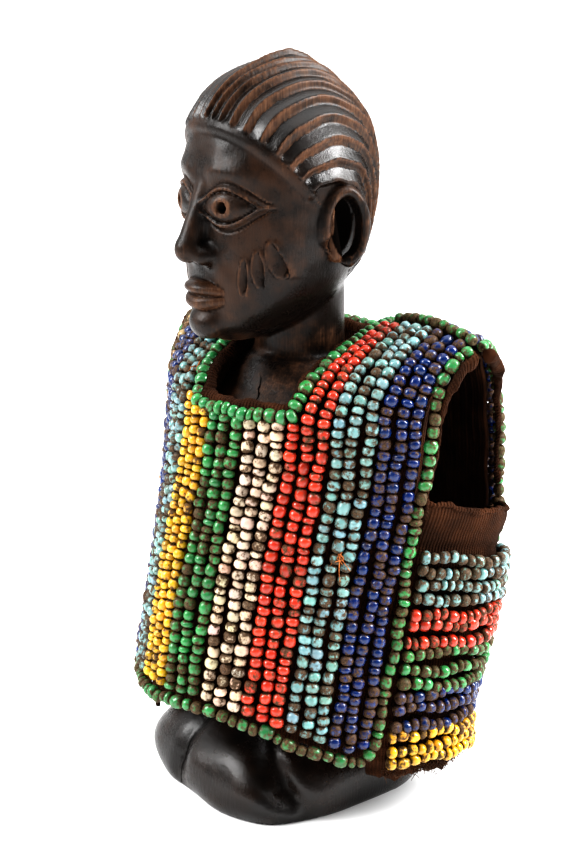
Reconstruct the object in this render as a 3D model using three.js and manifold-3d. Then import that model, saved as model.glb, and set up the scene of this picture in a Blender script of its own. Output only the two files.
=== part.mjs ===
// A carved wooden twin figure that wears a stiff tunic covered with strings of glass beads.
// Millimetres, +Z up. The figure faces -Y, its left side is +X, and the origin is the centre of the
// flat underside of its foot block.
import * as THREE from "three";
import { mergeVertices } from "three/addons/utils/BufferGeometryUtils.js";
import Module from "manifold-3d";

const wasm = await Module();
wasm.setup();

const DEGREE = Math.PI / 180;

// Wooden figure
const BLOCK_HALF_WIDTH = 43.5;
const BLOCK_HALF_DEPTH = 44.5;
const BLOCK_ROUNDNESS = 3.1;
const BLOCK_HEIGHT = 31;
const LOBE_VALLEY = { angle: 53, width: 10, depth: 0.09 };
const FOOT_SPLIT = { angle: 0, width: 5, depth: 0.06 };
const NECK = { x: 0, y: 4.5, radius: 15.5, bottom: 138, top: 186 };
const HEAD_TOP = 253.7;
const SLIVER = 0.02;
const CHIN = 163.5;
const FACE_FRONT = -35;
const HEAD_CENTRE = new THREE.Vector3(0, -3, 205);
// Level above the chin as a share of the head's height, half width, front and back of the plain head
const HEAD_LEVELS = [
  { share: 0.0, half: 6, front: -28, back: -12 },
  { share: 0.07, half: 15.5, front: -33.5, back: 1 },
  { share: 0.18, half: 23.5, front: -35, back: 15 },
  { share: 0.32, half: 27.5, front: -35, back: 21.5 },
  { share: 0.5, half: 29, front: -35, back: 26 },
  { share: 0.66, half: 29, front: -35, back: 26.5 },
  { share: 0.8, half: 26, front: -31.5, back: 23 },
  { share: 0.92, half: 18, front: -22.5, back: 14 },
  { share: 0.98, half: 9, front: -10, back: 7 },
  { share: 1.0, half: 0, front: 0, back: 0 },
];
const HEAD_ROUNDNESS = 2.25;
const HAIR = { ridges: 9, innermost: 24, spread: 1.25, height: 2.6, valley: 1.3, root: -4, steps: 8 };
const CREST = { halfWidth: 1.5, round: 92, reach: 12, peak: 1.4 };
// The hairline lies on a plane through the ear axis; the locks fan out where they pass the ears
const HAIRLINE = { round: 47, nape: 236, thickness: 1.7, fanStart: 150, fan: 0.25 };
const EAR = { y: 0.5, z: 202.5, halfHeight: 11.5, halfWidth: 7, rim: 2.3, stand: 3.4 };
const EYE = { x: 12, z: 210, halfWidth: 9.5, halfHeight: 5.2, bulge: 2.6 };

// Tunic, built in a frame of its own that is turned and moved on the figure
const TUNIC_TURN = 8.4;
const TUNIC_SHIFT = new THREE.Vector3(2.0, 2.7, 0);
// Horizontal sections through the centres of the beads
const SECTIONS = [
  { z: 35, halfWidth: 62, halfDepth: 56, flare: 0.3, setback: -7 },
  { z: 80, halfWidth: 64, halfDepth: 56, flare: 0.41, setback: 1 },
  { z: 120, halfWidth: 66, halfDepth: 49.5, flare: 0.37, setback: 6 },
  { z: 155, halfWidth: 66.5, halfDepth: 44.5, flare: 0.31, setback: 7.5 },
];
const SECTION_ROUNDNESS = 2.1;
const RING_STEPS = 180;
const STRAND_COUNT = 27;
const STRAND_PITCH = 5.0;
const FRONT_CENTRE_ARC = 11;
// Where each string leaves the upright sections and curves over to the shoulder seam
const BEND = { z: 140, lift: 18, edgeLift: 5, lean: 2.5 };
const SHOULDER = { z: 166, hump: 4, near: 67, spacing: 4.85, y: 19, drop: 4 };
const SEAM_GAP = 0.25;
const FRONT_HEM = { middle: 45.5, near: 25, far: 41.5 };
const BACK_HEM = { middle: 28, near: 24, far: 26 };
const HEM_CURVE = 1.35;
const GUSSET = { top: 115, bottom: 21, firstRow: 98.5, pitch: 4.85, sag: 4, stretch: 0.09 };
// Neck opening: the strings it runs between, and how far it reaches down the front and back panels
const OPENING = { near: 9, far: 17.4, farTop: 19.4, frontRise: 1.09, backRise: 1.6, corner: 0.12 };

// Cloth and beads, as heights from the surface through the bead centres
const CLOTH_OUTER = -3.1;
const CLOTH_INNER = -4.6;
const BEAD_UNDERSIDE = -1.7;
const BEAD_TOP = 2.2;
const BEAD_VALLEY = -0.7;
const EDGING_RADIUS = 2.1;
const EDGING_CLEARANCE = 3;
const HEM_CORNER_RADIUS = 11;
const BAND_TOP_RISE = 1.9;
const BAND_GAP = 0.07;

const WOOD = new THREE.MeshStandardMaterial({ color: 0x1f1511, roughness: 0.35 });
const CLOTH = new THREE.MeshStandardMaterial({ color: 0x3b2519, roughness: 0.95 });
const glass = (color) => new THREE.MeshStandardMaterial({ color, roughness: 0.25 });
const BEAD_COLOURS = {
  blue: glass(0x1d3a86),
  lightblue: glass(0x8fb9bb),
  red: glass(0xc8432f),
  white: glass(0xd9cdbd),
  green: glass(0x2f8a4e),
  yellow: glass(0xd9ab2a),
  pale: glass(0xc9b08e),
};

// Strand groups across a panel, from its edge on the figure's left to the far edge
const PANEL_GROUPS = [
  { name: "blue", first: 1, last: 3, colour: "blue" },
  { name: "lightblue", first: 4, last: 6, colour: "lightblue" },
  { name: "red", first: 7, last: 9, colour: "red" },
  { name: "white", first: 10, last: 12, colour: "white" },
  { name: "green", first: 13, last: 15, colour: "green" },
  { name: "yellow", first: 16, last: 18, colour: "yellow" },
  { name: "lightblue_far", first: 19, last: 21, colour: "lightblue" },
  { name: "blue_far", first: 22, last: 24, colour: "blue" },
  { name: "pale_far", first: 25, last: 25, colour: "pale" },
];
// Rows of beads on a gusset, counted from the top
const GUSSET_GROUPS = [
  { name: "lightblue", first: 0, last: 3, colour: "lightblue" },
  { name: "red", first: 4, last: 6, colour: "red" },
  { name: "green", first: 7, last: 9, colour: "green" },
  { name: "blue", first: 10, last: 12, colour: "blue" },
  { name: "yellow", first: 13, last: 15, colour: "yellow" },
];

// General helpers

const lerp = THREE.MathUtils.lerp;

// A smooth value between named levels, held constant outside them.
function between(levels, key, at, value) {
  if (at <= levels[0][key]) return levels[0][value];
  const last = levels.length - 1;
  for (let i = 0; i < last; i += 1) {
    const [low, high] = [levels[i], levels[i + 1]];
    if (at <= high[key]) {
      const before = levels[Math.max(i - 1, 0)];
      const after = levels[Math.min(i + 2, last)];
      const span = high[key] - low[key];
      const slopeLow = (high[value] - before[value]) / (high[key] - before[key]);
      const slopeHigh = (after[value] - low[value]) / (after[key] - low[key]);
      const t = (at - low[key]) / span;
      const t2 = t * t;
      const t3 = t2 * t;
      return (
        (2 * t3 - 3 * t2 + 1) * low[value] +
        (t3 - 2 * t2 + t) * span * slopeLow +
        (3 * t2 - 2 * t3) * high[value] +
        (t3 - t2) * span * slopeHigh
      );
    }
  }
  return levels[last][value];
}

// Moves every vertex of a geometry to the place that a function gives it.
function warp(geometry, place) {
  const position = geometry.getAttribute("position");
  for (let i = 0; i < position.count; i += 1) {
    const moved = place(position.getX(i), position.getY(i), position.getZ(i));
    position.setXYZ(i, moved.x, moved.y, moved.z);
  }
  return geometry;
}

function toSolid(geometry) {
  const bare = geometry.clone();
  bare.deleteAttribute("normal");
  bare.deleteAttribute("uv");
  const merged = mergeVertices(bare, 1e-4);
  const mesh = new wasm.Mesh({
    numProp: 3,
    vertProperties: merged.getAttribute("position").array,
    triVerts: new Uint32Array(merged.index.array),
  });
  return new wasm.Manifold(mesh);
}

function toGeometry(solid) {
  const mesh = solid.getMesh();
  const geometry = new THREE.BufferGeometry();
  geometry.setAttribute("position", new THREE.BufferAttribute(mesh.vertProperties, 3));
  geometry.setIndex(new THREE.BufferAttribute(mesh.triVerts, 1));
  return geometry;
}

function signedPower(value, power) {
  return Math.sign(value) * Math.abs(value) ** power;
}

// A rounded square outline of half size 1, as a superellipse.
function roundedSquare(angle, roundness) {
  const x = signedPower(Math.cos(angle), 2 / roundness);
  const y = signedPower(Math.sin(angle), 2 / roundness);
  return new THREE.Vector2(x, y);
}

function tubeAlong(points, radius, sides, steps) {
  const shape = new THREE.Shape();
  for (let i = 0; i < sides; i += 1) {
    const angle = (2 * Math.PI * i) / sides;
    const [x, y] = [radius * Math.cos(angle), radius * Math.sin(angle)];
    if (i === 0) shape.moveTo(x, y);
    else shape.lineTo(x, y);
  }
  shape.closePath();
  const path = new THREE.CatmullRomCurve3(points, false, "centripetal");
  return new THREE.ExtrudeGeometry(shape, { steps, extrudePath: path, bevelEnabled: false });
}

// Wooden figure

// A solid whose horizontal sections are rounded outlines given level by level.
function loft(levels, roundness, sides, steps) {
  const bottom = levels[0].z;
  const top = levels[levels.length - 1].z;
  const geometry = new THREE.CylinderGeometry(1, 1, 1, sides, steps).rotateX(Math.PI / 2);
  return warp(geometry, (x, y, height) => {
    const z = lerp(bottom, top, height + 0.5);
    const radius = Math.min(1, Math.hypot(x, y));
    const outline = roundedSquare(Math.atan2(y, x), roundness).multiplyScalar(radius);
    return new THREE.Vector3(
      between(levels, "z", z, "x") + outline.x * between(levels, "z", z, "halfWidth"),
      between(levels, "z", z, "y") + outline.y * between(levels, "z", z, "halfDepth"),
      z,
    );
  });
}

// How far a groove that runs down the foot block cuts in at an angle from straight ahead.
function groove(angle, { angle: at, width, depth }) {
  const offset = (angle - at) / width;
  return depth * Math.exp(-offset * offset);
}

function footBlock() {
  const sides = 32;
  const steps = 5;
  const geometry = new THREE.CylinderGeometry(1, 1, 1, sides, steps).rotateX(Math.PI / 2);
  return warp(geometry, (x, y, height) => {
    const rise = height + 0.5;
    const radius = Math.min(1, Math.hypot(x, y));
    const angle = Math.atan2(y, x);
    const fromFront = Math.atan2(x, -y) / DEGREE;
    // Undercut a little at the floor, fullest low down, then drawn in as a dome.
    const dome = Math.sqrt(Math.max(0, 1 - Math.max(0, (rise - 0.25) / 0.79) ** 2));
    const foot = 1 - 0.04 * Math.max(0, 1 - rise / 0.2) ** 2;
    const cut =
      groove(fromFront, LOBE_VALLEY) +
      groove(-fromFront, LOBE_VALLEY) +
      groove(fromFront, FOOT_SPLIT);
    const size = radius * dome * foot * (1 - cut * Math.min(1, rise * 3));
    const outline = roundedSquare(angle, BLOCK_ROUNDNESS).multiplyScalar(size);
    return new THREE.Vector3(
      outline.x * BLOCK_HALF_WIDTH,
      outline.y * BLOCK_HALF_DEPTH,
      rise * BLOCK_HEIGHT,
    );
  });
}

const TORSO = [
  { z: 44, x: 0, y: 4, halfWidth: 25, halfDepth: 21 },
  { z: 62, x: 0, y: 5, halfWidth: 27, halfDepth: 22 },
  { z: 88, x: 0, y: 6, halfWidth: 20, halfDepth: 17 },
  { z: 120, x: 0, y: 4, halfWidth: 24, halfDepth: 21 },
  { z: 138, x: 0, y: -1, halfWidth: 33, halfDepth: 26 },
  { z: 147, x: 0, y: 1, halfWidth: 28, halfDepth: 21 },
  { z: 155, x: 0, y: 3, halfWidth: 18, halfDepth: 17 },
];
const LEG = [
  { z: 14, x: 16, y: 2, halfWidth: 13, halfDepth: 16 },
  { z: 34, x: 15, y: 1, halfWidth: 12.5, halfDepth: 15 },
  { z: 50, x: 13, y: 4, halfWidth: 12, halfDepth: 16 },
];
const ARM = [
  { z: 70, x: 27, y: -3, halfWidth: 5, halfDepth: 7 },
  { z: 84, x: 29, y: 0, halfWidth: 6.5, halfDepth: 7 },
  { z: 106, x: 31, y: 8, halfWidth: 6.5, halfDepth: 7.5 },
  { z: 132, x: 31, y: 8, halfWidth: 7.5, halfDepth: 9 },
  { z: 146, x: 28, y: 7, halfWidth: 6, halfDepth: 8 },
];

function mirrored(levels) {
  return levels.map((level) => ({ ...level, x: -level.x }));
}

function neck() {
  const length = NECK.top - NECK.bottom;
  const flare = 4;
  const profile = [
    new THREE.Vector2(0, 0),
    new THREE.Vector2(NECK.radius + flare, 0),
    new THREE.Vector2(NECK.radius + 1, length * 0.3),
    new THREE.Vector2(NECK.radius, length * 0.55),
    new THREE.Vector2(NECK.radius, length),
    new THREE.Vector2(0, length),
  ];
  const geometry = new THREE.LatheGeometry(profile, 14).rotateX(Math.PI / 2);
  return geometry.translate(NECK.x, NECK.y, NECK.bottom);
}

// A point of the plain head seen from its centre, in a direction given by the angle from the ear axis
// (polar) and the angle round that axis from straight ahead, over the top (round), both in degrees.
function headPoint(polar, round, lift) {
  const direction = new THREE.Vector3(
    Math.cos(polar * DEGREE),
    -Math.sin(polar * DEGREE) * Math.cos(round * DEGREE),
    Math.sin(polar * DEGREE) * Math.sin(round * DEGREE),
  );
  let near = 0;
  let far = 60;
  for (let i = 0; i < 24; i += 1) {
    const middle = (near + far) / 2;
    const point = HEAD_CENTRE.clone().addScaledVector(direction, middle);
    if (insideHead(point)) near = middle;
    else far = middle;
  }
  return HEAD_CENTRE.clone().addScaledVector(direction, near + lift);
}

function insideHead({ x, y, z }) {
  const share = (z - CHIN) / (HEAD_TOP - CHIN);
  if (share <= 0 || share >= 1) return false;
  const half = between(HEAD_LEVELS, "share", share, "half");
  const front = between(HEAD_LEVELS, "share", share, "front");
  const back = between(HEAD_LEVELS, "share", share, "back");
  const middle = (front + back) / 2;
  const depth = (back - front) / 2;
  const across = Math.abs(x / half) ** HEAD_ROUNDNESS;
  return across + Math.abs((y - middle) / depth) ** HEAD_ROUNDNESS < 1;
}

function plainHead() {
  const geometry = new THREE.SphereGeometry(1, 24, 15).rotateX(Math.PI / 2);
  return warp(geometry, (x, y, height) => {
    const share = 0.5 + 0.5 * height;
    const radius = Math.hypot(x, y);
    const angle = Math.atan2(y, x);
    const half = between(HEAD_LEVELS, "share", share, "half");
    const front = between(HEAD_LEVELS, "share", share, "front");
    const back = between(HEAD_LEVELS, "share", share, "back");
    const outline = roundedSquare(angle, HEAD_ROUNDNESS).multiplyScalar(radius > 1e-6 ? 1 : 0);
    return new THREE.Vector3(
      outline.x * half,
      (front + back) / 2 + (outline.y * (back - front)) / 2,
      lerp(CHIN, HEAD_TOP, share),
    );
  });
}

// Angle from the ear axis at which ridge number i has its lower edge; the last is the middle parting.
function ridgePolar(i) {
  const share = (HAIR.ridges - i) / HAIR.ridges;
  return 90 - (90 - HAIR.innermost) * share ** HAIR.spread;
}

// Section across the hair from ear to ear, in degrees from the left ear's axis and millimetres above
// the plain head: each lock rises towards its lower edge and drops there in a crisp step.
function hairSection() {
  const shape = new THREE.Shape();
  const edges = [];
  for (let i = 0; i <= HAIR.ridges; i += 1) edges.push(ridgePolar(i));
  shape.moveTo(edges[0], HAIR.root);
  for (let i = 0; i < HAIR.ridges; i += 1) {
    shape.lineTo(edges[i], HAIR.height);
    shape.lineTo(Math.min(edges[i + 1], 90 - CREST.halfWidth), HAIR.valley);
  }
  shape.lineTo(90, HAIR.height);
  for (let i = HAIR.ridges - 1; i >= 0; i -= 1) {
    shape.lineTo(Math.max(180 - edges[i + 1] + 0.1, 90 + CREST.halfWidth), HAIR.valley);
    shape.lineTo(180 - edges[i], HAIR.height);
  }
  shape.lineTo(180 - edges[0], HAIR.root);
  shape.lineTo(120, HAIR.root);
  shape.lineTo(90, HAIR.root);
  shape.lineTo(60, HAIR.root);
  shape.closePath();
  return shape;
}

// The carved hair: the section swept from the hairline over the head and down to the nape, with a
// small peak where the middle ridge passes the top.
function hair() {
  const options = { depth: 1, steps: HAIR.steps, bevelEnabled: false };
  const geometry = new THREE.ExtrudeGeometry(hairSection(), options);
  return warp(geometry, (polar, height, along) => {
    const round = lerp(HAIRLINE.round, HAIRLINE.nape, along);
    const past = (round - HAIRLINE.fanStart) / (HAIRLINE.nape - HAIRLINE.fanStart);
    const fan = 1 - HAIRLINE.fan * Math.max(0, past) ** 2;
    const onCrest = Math.abs(polar - 90) < 1 && Math.abs(round - CREST.round) < CREST.reach && height > 0;
    const peak = onCrest ? CREST.peak : 0;
    return headPoint(90 + (polar - 90) * fan, round, height + peak);
  });
}

function hairlineBand() {
  const points = [];
  for (let i = 0; i <= 10; i += 1) {
    const polar = lerp(HAIR.innermost - 2, 182 - HAIR.innermost, i / 10);
    points.push(headPoint(polar, HAIRLINE.round - 1, 0.2));
  }
  return tubeAlong(points, HAIRLINE.thickness, 5, 14);
}

function ear(side) {
  const points = [];
  for (let i = 0; i <= 9; i += 1) {
    const angle = lerp(200, -75, i / 9) * DEGREE;
    points.push(
      new THREE.Vector3(
        side * (27.5 + EAR.stand * (0.6 + 0.4 * Math.cos(angle))),
        EAR.y + EAR.halfWidth * Math.cos(angle),
        EAR.z + EAR.halfHeight * Math.sin(angle),
      ),
    );
  }
  return tubeAlong(points, EAR.rim, 5, 11);
}

// The inner leaf of the ear, which runs down from the rim's front end.
function innerEar(side) {
  const points = [
    new THREE.Vector3(side * 28.5, EAR.y - 4.5, EAR.z + 6),
    new THREE.Vector3(side * 29.5, EAR.y - 3, EAR.z),
    new THREE.Vector3(side * 29, EAR.y - 3, EAR.z - 7),
    new THREE.Vector3(side * 28, EAR.y - 1, EAR.z - 11),
  ];
  return tubeAlong(points, 1.6, 5, 4);
}

function faceDepthAt(x, z) {
  const share = (z - CHIN) / (HEAD_TOP - CHIN);
  const half = between(HEAD_LEVELS, "share", share, "half");
  const front = between(HEAD_LEVELS, "share", share, "front");
  const back = between(HEAD_LEVELS, "share", share, "back");
  const reach = Math.max(0, 1 - Math.abs(x / half) ** HEAD_ROUNDNESS) ** (1 / HEAD_ROUNDNESS);
  return (front + back) / 2 - (reach * (back - front)) / 2;
}

// A calm almond eye: a low dome on the face, ringed by a raised lid.
function eyeball(side) {
  const geometry = new THREE.SphereGeometry(1, 10, 6).rotateX(Math.PI / 2);
  return warp(geometry, (x, y, z) => {
    const atX = side * EYE.x + x * (EYE.halfWidth - 1);
    const almond = 1 - 0.45 * x * x;
    const atZ = EYE.z + z * (EYE.halfHeight - 1) * almond;
    return new THREE.Vector3(atX, faceDepthAt(atX, atZ) + y * EYE.bulge, atZ);
  });
}

function eyelid(side) {
  const geometry = new THREE.TorusGeometry(1, 0.13, 4, 14);
  return warp(geometry, (x, y, depth) => {
    const atX = side * EYE.x + x * EYE.halfWidth;
    const atZ = EYE.z + y * EYE.halfHeight * (1 - 0.35 * x * x);
    return new THREE.Vector3(atX, faceDepthAt(atX, atZ) - 0.6 - depth * 9, atZ);
  });
}

function nose() {
  const profile = new THREE.Shape();
  profile.moveTo(4, 213);
  profile.lineTo(-1.5, 211);
  profile.lineTo(-7.5, 193.5);
  profile.lineTo(-6.5, 190);
  profile.lineTo(0, 188.5);
  profile.lineTo(4, 190);
  profile.closePath();
  const geometry = new THREE.ExtrudeGeometry(profile, { depth: 1, steps: 2, bevelEnabled: false });
  return warp(geometry, (y, z, across) => {
    const down = THREE.MathUtils.clamp((213 - z) / 22, 0, 1);
    const halfWidth = lerp(2.4, 8.2, down ** 2);
    const pinch = y < -3 ? 0.55 : 1;
    return new THREE.Vector3((across - 0.5) * 2 * halfWidth * pinch, FACE_FRONT + y, z);
  });
}

function lip(z, halfHeight, reach) {
  const geometry = new THREE.SphereGeometry(1, 8, 6).rotateZ(Math.PI / 2);
  return warp(geometry, (x, y, height) => {
    const atX = x * 10.5;
    const atZ = z + height * halfHeight * (1 - 0.3 * x * x);
    return new THREE.Vector3(atX, faceDepthAt(atX, z) + 0.5 + y * reach, atZ);
  });
}

// Three leaf-shaped marks cut into each cheek, a common ornament on such figures.
function cheekMark(side, i) {
  const x = 17.5 + i * 3.6;
  const z = 191 + i * 2.2;
  const geometry = new THREE.OctahedronGeometry(1, 0).scale(1.3, 1.6, 6.5);
  const lean = (12 - i * 5) * DEGREE;
  return geometry.rotateY(-side * lean).translate(side * x, faceDepthAt(x, z), z);
}

function buildFigure() {
  let solid = toSolid(footBlock());
  const joined = [
    loft(TORSO, 2.2, 14, 7),
    loft(LEG, 2.2, 8, 2),
    loft(mirrored(LEG), 2.2, 8, 2),
    loft(ARM, 2, 6, 5),
    loft(mirrored(ARM), 2, 6, 5),
    neck(),
    plainHead(),
    hair(),
    hairlineBand(),
    nose(),
    lip(182, 2.4, 4.2),
    lip(177.5, 2.6, 3.8),
  ];
  for (const side of [1, -1]) {
    joined.push(ear(side), innerEar(side), eyeball(side), eyelid(side));
  }
  for (const geometry of joined) solid = solid.add(toSolid(geometry));
  for (const side of [1, -1]) {
    for (let i = 0; i < 3; i += 1) solid = solid.subtract(toSolid(cheekMark(side, i)));
  }
  // A join can leave slivers beside the carving: those within the figure are smoothed away, and any
  // that stand apart are dropped.
  const bodies = solid.simplify(SLIVER).decompose().sort((a, b) => b.volume() - a.volume());
  return toGeometry(bodies[0]);
}

// Tunic surface

const ringCache = new Map();

// The horizontal section at a height: its points and their distance round from the front centre,
// towards the figure's left.
function ringAt(z) {
  const key = z.toFixed(3);
  if (ringCache.has(key)) return ringCache.get(key);
  const halfWidth = between(SECTIONS, "z", z, "halfWidth");
  const halfDepth = between(SECTIONS, "z", z, "halfDepth");
  const flare = between(SECTIONS, "z", z, "flare");
  const setback = between(SECTIONS, "z", z, "setback");
  const points = [];
  const arcs = [];
  for (let i = 0; i <= RING_STEPS; i += 1) {
    const angle = (2 * Math.PI * i) / RING_STEPS - Math.PI / 2;
    const outline = roundedSquare(angle, SECTION_ROUNDNESS);
    const wide = halfWidth * (1 + flare * Math.sin(angle));
    points.push(new THREE.Vector2(outline.x * wide, outline.y * halfDepth + setback));
    arcs.push(i === 0 ? 0 : arcs[i - 1] + points[i].distanceTo(points[i - 1]));
  }
  const ring = { points, arcs, length: arcs[RING_STEPS] };
  ringCache.set(key, ring);
  return ring;
}

function ringPoint(z, arc) {
  const { points, arcs, length } = ringAt(z);
  const wrapped = ((arc % length) + length) % length;
  let i = 1;
  while (arcs[i] < wrapped) i += 1;
  const share = (wrapped - arcs[i - 1]) / (arcs[i] - arcs[i - 1]);
  return new THREE.Vector3(
    lerp(points[i - 1].x, points[i].x, share),
    lerp(points[i - 1].y, points[i].y, share),
    z,
  );
}

const MIDDLE_STRAND = (STRAND_COUNT - 1) / 2;

// -1 at the panel edge on the figure's left, 0 in the middle and 1 at the far edge.
function fromMiddle(strand) {
  return (strand - MIDDLE_STRAND) / MIDDLE_STRAND;
}

function hemHeight(hem, strand) {
  const share = fromMiddle(strand);
  const corner = share < 0 ? hem.near : hem.far;
  return lerp(hem.middle, corner, Math.abs(share) ** HEM_CURVE);
}

function shoulderPoint(strand, face) {
  const share = Math.abs(fromMiddle(strand));
  const hump = Math.sin(Math.PI * THREE.MathUtils.clamp((share - 0.3) / 0.7, 0, 1));
  return new THREE.Vector3(
    SHOULDER.near - SHOULDER.spacing * strand,
    SHOULDER.y - SHOULDER.drop * share - face * SEAM_GAP,
    SHOULDER.z + SHOULDER.hump * hump,
  );
}

// A panel's surface: strand runs across it, and rise runs from 0 at the hem to 1 where it bends over
// and 2 at the shoulder line. face is 1 for the front panel and -1 for the back panel.
function panelPoint(face, strand, rise) {
  const hem = hemHeight(face > 0 ? FRONT_HEM : BACK_HEM, strand);
  const z = lerp(hem, BEND.z, Math.min(rise, 1));
  const { length } = ringAt(z);
  const across = (MIDDLE_STRAND - strand) * STRAND_PITCH;
  const arc = face > 0 ? FRONT_CENTRE_ARC + across : length / 2 + FRONT_CENTRE_ARC - across;
  const low = ringPoint(z, arc);
  if (rise <= 1) return low;
  const t = rise - 1;
  const end = shoulderPoint(strand, face);
  const control = low.clone();
  control.y += BEND.lean * face;
  control.z += BEND.lift + BEND.edgeLift * fromMiddle(strand) ** 2;
  return new THREE.QuadraticBezierCurve3(low, control, end).getPoint(t);
}

// The same surface moved out along its normal.
function panelOffset(face, strand, rise, height) {
  const step = 0.02;
  const point = panelPoint(face, strand, rise);
  const across = panelPoint(face, strand + step, rise).sub(panelPoint(face, strand - step, rise));
  const upper = Math.min(2, rise + step);
  const up = panelPoint(face, strand, upper).sub(panelPoint(face, strand, upper - 2 * step));
  const normal = up.cross(across).multiplyScalar(face).normalize();
  // Front and back panel meet face to face on the shoulder line, where both point straight up.
  const upright = THREE.MathUtils.smoothstep(rise, 1.5, 2);
  normal.lerp(new THREE.Vector3(0, 0, 1), upright).normalize();
  return point.addScaledVector(normal, height);
}

function gussetPoint(side, share, z) {
  // The gusset hangs lower towards the back panel, and more so at its top than at its hem.
  const sagging = z - (GUSSET.sag + GUSSET.stretch * z) * Math.max(0, share) ** 1.2;
  const { length } = ringAt(sagging);
  const frontEdge = FRONT_CENTRE_ARC + side * MIDDLE_STRAND * STRAND_PITCH;
  const backEdge = length / 2 + FRONT_CENTRE_ARC - side * MIDDLE_STRAND * STRAND_PITCH;
  const reach = side > 0 ? backEdge - frontEdge : frontEdge - (backEdge - length);
  return ringPoint(sagging, frontEdge + side * share * reach);
}

function gussetOffset(side, share, z, height) {
  const step = 0.01;
  const along = gussetPoint(side, share + step, z).sub(gussetPoint(side, share - step, z));
  const up = new THREE.Vector3(0, 0, 1);
  const normal = along.cross(up).multiplyScalar(side).normalize();
  return gussetPoint(side, share, z).addScaledVector(normal, height);
}

// Tunic pieces

// Rises at which every piece of a panel has its rows, so that cloth and beads bend together.
const FRONT_ROWS = [0, 0.34, 0.67, 1, 1.25, 1.55, 2];
const BACK_ROWS = [0, 0.5, 1, 1.3, 2];

function rowsOf(face) {
  return face > 0 ? FRONT_ROWS : BACK_ROWS;
}

function rowRise(face, share) {
  const rows = rowsOf(face);
  const index = share * (rows.length - 1);
  const low = Math.min(Math.floor(index + 1e-6), rows.length - 2);
  return lerp(rows[low], rows[low + 1], index - low);
}

// Places round the neck opening as face, strand and rise, grown outwards by a number of strings.
function openingPlaces(grow) {
  const near = OPENING.near - grow;
  const far = OPENING.far + grow;
  const farTop = OPENING.farTop + grow;
  const front = OPENING.frontRise - grow * 0.05;
  const back = OPENING.backRise - grow * 0.3;
  const round = OPENING.corner;
  return [
    [1, near + 0.5, front],
    [1, near, front + round],
    [1, near, 1.4],
    [1, near, 1.7],
    [-1, near, 2],
    [-1, near, 1.8],
    [-1, near + 1.2, back],
    [-1, MIDDLE_STRAND, back],
    [-1, farTop - 1.6, back],
    [-1, farTop, 1.8],
    [-1, farTop, 2],
    [1, lerp(far, farTop, 0.7), 1.7],
    [1, lerp(far, farTop, 0.4), 1.4],
    [1, far, front + round],
    [1, far - 0.5, front],
    [1, MIDDLE_STRAND, front],
  ];
}

// A vertical cutter for the neck opening, open towards the front above the neckline.
function openingCutter(grow) {
  const places = openingPlaces(grow).slice(1, -2);
  const corners = places.map(([face, strand, rise]) => panelPoint(face, strand, rise));
  const ahead = -90;
  const shape = new THREE.Shape();
  shape.moveTo(corners[0].x, ahead);
  for (const { x, y } of corners) shape.lineTo(x, y);
  shape.lineTo(corners[corners.length - 1].x, ahead);
  shape.closePath();
  const floor = panelPoint(1, MIDDLE_STRAND, OPENING.frontRise).z - grow * STRAND_PITCH;
  const geometry = new THREE.ExtrudeGeometry(shape, { depth: 60, bevelEnabled: false });
  return toSolid(geometry.translate(0, 0, floor));
}

function clothPanel(face) {
  const across = 8;
  const geometry = new THREE.BoxGeometry(1, 1, 1, across, rowsOf(face).length - 1, 1);
  const first = 0.45;
  const last = STRAND_COUNT - 1 - first;
  warp(geometry, (x, y, depth) => {
    const strand = lerp(first, last, face > 0 ? 0.5 - x : x + 0.5);
    const height = depth > 0 ? CLOTH_OUTER : CLOTH_INNER;
    return panelOffset(face, strand, rowRise(face, y + 0.5), height);
  });
  return geometry;
}

function clothGusset(side) {
  const geometry = new THREE.BoxGeometry(1, 1, 1, 4, 4, 1);
  const edge = 0.045;
  return warp(geometry, (x, y, depth) => {
    const share = lerp(edge, 1 - edge, side > 0 ? x + 0.5 : 0.5 - x);
    const z = lerp(GUSSET.bottom, GUSSET.top, y + 0.5);
    return gussetOffset(side, share, z, depth > 0 ? CLOTH_OUTER : CLOTH_INNER);
  });
}

// Section of a group of strings laid side by side: one ridge for each string, in string widths.
function ribbedSection(first, last, lowest = -Infinity, highest = Infinity) {
  const shape = new THREE.Shape();
  const start = Math.max(first - 0.5 + BAND_GAP, lowest);
  const end = Math.min(last + 0.5 - BAND_GAP, highest);
  shape.moveTo(start, BEAD_UNDERSIDE);
  const underside = last - first;
  for (let i = 1; i <= underside; i += 1) {
    shape.lineTo(lerp(start, end, i / (underside + 1)), BEAD_UNDERSIDE);
  }
  shape.lineTo(end, BEAD_UNDERSIDE);
  for (let strand = last; strand >= first; strand -= 1) {
    shape.lineTo(Math.min(strand + 0.5, end), BEAD_VALLEY);
    shape.lineTo(strand, BEAD_TOP);
  }
  shape.lineTo(start, BEAD_VALLEY);
  shape.closePath();
  return shape;
}

// Rise at which a string starts above the hem edging, which turns a round corner at either end.
function lowEnd(face, strand) {
  const hem = hemHeight(face > 0 ? FRONT_HEM : BACK_HEM, strand);
  const fromEdge = Math.min(strand, STRAND_COUNT - 1 - strand) * STRAND_PITCH;
  const short = Math.max(0, HEM_CORNER_RADIUS - fromEdge);
  const inner = HEM_CORNER_RADIUS - EDGING_CLEARANCE;
  const height = HEM_CORNER_RADIUS - Math.sqrt(Math.max(0, inner ** 2 - short ** 2));
  return (height + 1.7) / (BEND.z - hem);
}

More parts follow.
